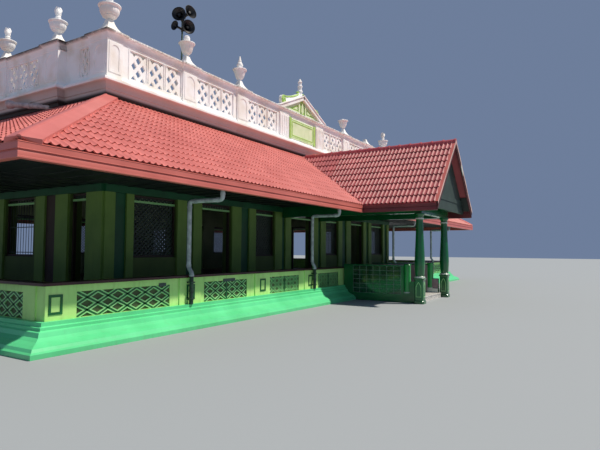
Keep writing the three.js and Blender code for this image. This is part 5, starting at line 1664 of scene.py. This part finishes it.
# Downpipes: grey plastic from the gutter to the wall, dark below the coping
pipeLook = {"radius": 0.05, "stations": (3.43, 9.07), "outletY": -1.0, "run": 2.845, "upperY": -0.02,
            "jogTop": 1.33, "jogBottom": 1.21, "wallY": -0.112, "foot": 0.501, "bend": 0.075, "split": 1.165,
            "collar": 0.058, "collarHeight": 0.05, "strap": 0.062, "straps": (0.62, 0.98),
            "hangers": (-0.86, -0.2), "segments": 18}


def downpipePiece(name, x):
    look = pipeLook
    bm = bmesh.new()
    spot = lambda y, z: Vector((x, buildingFront + y, z))
    radius, collar, wallY, upperY, outletY = pick(look, "radius", "collar", "wallY", "upperY", "outletY")
    run, jogTop, split, high = pick(look, "run", "jogTop", "split", "collarHeight")
    outletTop = lines["roofFoot"] + rise / frontRun * (lines["eaveOverhang"] + outletY) - 0.125
    upper = [spot(outletY, outletTop), spot(outletY, run), spot(upperY, run), spot(upperY, jogTop),
             spot(wallY, look["jogBottom"]), spot(wallY, split)]
    sweepInto(bm, upper, radius, greyPipe, 0, look["bend"])
    sweepInto(bm, [spot(wallY, split + 0.02), spot(wallY, look["foot"])], radius - 0.002, darkPipe, 1)
    ring = [(0, 0), (radius - 0.006, 0), (collar, 0), (collar, high), (radius - 0.006, high), (0, high)]
    for y, z, slotIndex in ((wallY, split - 0.035, 0), (upperY, run - 0.16, 0), (upperY, jogTop + 0.02, 0),
                            (outletY, run + 0.1, 0), (wallY, 0.78, 1)):
        addLathe(bm, ring, spot(y, z), look["segments"], slotIndex)
    circle = [(collar * cos(2 * pi * i / look["segments"]),
               collar * sin(2 * pi * i / look["segments"])) for i in range(look["segments"])]
    for y in look["hangers"]:
        addSlab(bm, lambda u, z, depth: spot(y + depth, run + z) + Vector((u, 0, 0)), circle, -0.03, 0.03)
    place = lambda u, v, z: spot(v, z) + Vector((u, 0, 0))
    half, strapFront = look["strap"], wallY - 0.056
    for z in look["straps"]:
        addBox(bm, place, -half, half, strapFront, strapFront + 0.006, z, z + 0.03, 1)
        for u in (-half, half - 0.006):
            addBox(bm, place, u, u + 0.006, strapFront, -0.02, z, z + 0.03, 1)
    finishPiece(name + "_fitted", bm, [greyPipe, darkPipe], [name])


for sideName, sign in (("left", -1), ("right", 1)):
    for number, station in enumerate(pipeLook["stations"], 1):
        downpipePiece(f"downpipe_{sideName}_{number}", sign * (wallRect[2] - station))
print("downpipes fitted")


# Loudspeaker horns on a thin mast; the bell's profile is in radius and share of its length
horns = {"x": -6.0, "y": 3.6, "radius": 0.03, "top": 9.52, "foot": 5.7303, "length": 0.35, "clamp": 0.042,
         "base": [(0, 0.0), (0.13, 0.0), (0.13, 0.012), (0.045, 0.02), (0.045, 0.12), (0, 0.12)],
         "rear": [(0, -0.1), (0.05, -0.1), (0.062, -0.085), (0.062, 0.0), (0.055, 0.012), (0.048, 0.02)],
         "bell": [(0.046, 0.34), (0.06, 0.46), (0.085, 0.6), (0.125, 0.75), (0.175, 0.89), (0.217, 0.975),
                  (0.225, 0.985), (0.225, 1.0), (0.213, 1.0), (0.209, 0.975), (0.165, 0.89), (0.115, 0.75),
                  (0.075, 0.6), (0.05, 0.48), (0.05, 0.72), (0.056, 0.8), (0.04, 0.86), (0, 0.87)],
         "set": [(210, 9.29, 0, 1.0), (262, 9.36, 10, 1.0), (252, 8.96, -6, 1.0), (180, 8.98, 0, 0.7)]}


def hornPiece():
    look = horns
    bm = bmesh.new()
    foot = Vector((look["x"], look["y"] + buildingFront, 0))
    low, top = Vector((0, 0, look["foot"])), Vector((0, 0, look["top"]))
    sweepInto(bm, [foot + low, foot + top], look["radius"], mastPaint, 1)
    addLathe(bm, look["base"], foot + low, 24, 1)
    profile = [*look["rear"], *[(radius, share * look["length"]) for radius, share in look["bell"]]]
    for heading, z, tilt, size in look["set"]:
        single = bmesh.new()
        addLathe(single, profile, Vector((0, 0, 0)), 28)
        addBox(single, flat, -0.02, 0.02, -0.09, -0.05, 0.03, 0.1)
        addBox(single, flat, -0.05, 0.05, 0.05, 0.075, -0.06, -0.03)
        turn = (Matrix.Translation(foot + Vector((0, 0, z))) @ Matrix.Rotation(radians(heading), 4, "Z")
                @ Matrix.Rotation(radians(-tilt), 4, "Y") @ Matrix.Translation((0.1, 0, 0))
                @ Matrix.Rotation(radians(90), 4, "Y") @ Matrix.Scale(size, 4))
        bmesh.ops.transform(single, matrix=turn, verts=single.verts)
        mergeInto(bm, toMesh(single, "horn"))
        clamp = [(0, -0.05), (look["clamp"], -0.05), (look["clamp"], 0.05), (0, 0.05)]
        addLathe(bm, clamp, foot + Vector((0, 0, z)), 18)
    finishPiece("loudspeaker_horns", bm, [hornBlack, mastPaint], ["loudspeaker_mast"])


hornPiece()


# Rain spout under the cornice of the left side
spoutLook = {"from": (-9.66, 4.5, 5.58), "to": (-10.2, 6.05, 5.77), "radius": 0.07, "mouth": 0.115}


def spoutPiece():
    look = spoutLook
    start, way = Vector(look["from"]) + alongY * buildingFront, Vector(look["to"]) - Vector(look["from"])
    r, m = look["radius"], look["mouth"]
    profile = [(0, 0), (r, 0), (r, 0.55), (r + 0.012, 0.56), (r + 0.012, 0.6), (r, 0.61), (r, 0.86),
               (m, 0.93), (m, 1.0), (m - 0.012, 1.0), (m - 0.014, 0.94), (r - 0.012, 0.86), (0, 0.84)]
    bm = bmesh.new()
    addLathe(bm, [(radius, share * way.length) for radius, share in profile], Vector((0, 0, 0)), 20)
    turn = Matrix.Translation(start) @ way.to_track_quat("Z", "Y").to_matrix().to_4x4()
    bmesh.ops.transform(bm, matrix=turn, verts=bm.verts)
    finishPiece("rain_spout", bm, [agedPipe])


spoutPiece()
print("horns and spout mounted")


# Looks for the CAD nodes carried over
parts = ("front_left", "front_right", "back", "left", "right")
wearing = [
    (paint["mintEnamelPlinth"], ["raised_base"]),
    (paint["yellowGreenEmulsion"], ["low_wall_" + part for part in parts]),
    (paint["oliveEmulsion"], ["hall_wall_" + side for side in allSides]),
    (paint["columnEnamel"], ["porch_beams", "porch_side_wall_left", "porch_side_wall_right"]),
    # The porch gable wears paint darkened as painted shade
    (paint["gableShadePaint"], ["porch_gable"]),
    (copingOxide, ["coping_" + part for part in parts]),
    (roofScreed, ["hall_roof"]),
    (darkTimber, ["veranda_ceiling_" + side for side in allSides]),
    (steel["salmonTileSheet"], ["veranda_roof_" + part for part in parts]),
    (steel["porchTileSheet"], ["porch_roof_left", "porch_roof_right"]),
    (stepTerrazzo, ["entrance_steps"]),
]
for material, nodes in wearing:
    for node in nodes:
        mesh = bpy.data.objects[node].data
        mesh.materials.clear()
        mesh.materials.append(material)


# Floor to stand on, light and camera
light = {"sunPower": 4.4, "sunAngle": 1.5, "sunHeight": 59, "sunColour": "#FFF6E8", "sky": 0.36,
         "skyColour": "#AFC8F4", "floor": "#9AA0A3", "floorHalf": 120}
floorMaterial, _, floorShader, _ = newMaterial("paleStudioFloor", 0.8)
feed(floorShader, "Base Color", light["floor"])
floorBm = bmesh.new()
half = light["floorHalf"]
addBox(floorBm, flat, -half, half, -half, half, -0.3, -0.001)
floorMesh = toMesh(floorBm, "studioFloor")
floorMesh.materials.append(floorMaterial)
addToScene("studioFloor", floorMesh)

world = bpy.data.worlds.new("softSky")
world.use_nodes = True
sky = world.node_tree.nodes["Background"]
feed(sky, "Color", light["skyColour"])
feed(sky, "Strength", light["sky"])
scene.world = world

sunLift = radians(light["sunHeight"])
toSun = Vector((0.52 * cos(sunLift), -0.85 * cos(sunLift), sin(sunLift)))
sunData = bpy.data.lights.new("sun", "SUN")
sunData.energy = light["sunPower"]
sunData.angle = radians(light["sunAngle"])
sunData.color = linear(light["sunColour"])[:3]
sun = addToScene("sun", sunData)
sun.rotation_euler = toSun.to_track_quat("Z", "Y").to_euler()

view = {"eye": (-17.77, -15.183, 1.75), "heading": 31.46, "pitch": 2.83, "roll": 0.37, "lens": 30.12}
heading, pitch, roll = (radians(view[key]) for key in ("heading", "pitch", "roll"))
ahead = Vector((cos(heading) * cos(pitch), sin(heading) * cos(pitch), sin(pitch)))
level = Vector((sin(heading), -cos(heading), 0))
above = level.cross(ahead)
right = level * cos(roll) + above * sin(roll)
up = above * cos(roll) - level * sin(roll)
cameraData = bpy.data.cameras.new("photoView")
cameraData.lens = view["lens"]
cameraData.sensor_width = 36
camera = addToScene("photoView", cameraData)
camera.matrix_world = Matrix.Translation(view["eye"]) @ Matrix((right, up, -ahead)).transposed().to_4x4()
scene.camera = camera
scene.view_settings.view_transform = "Standard"
print("stage set")
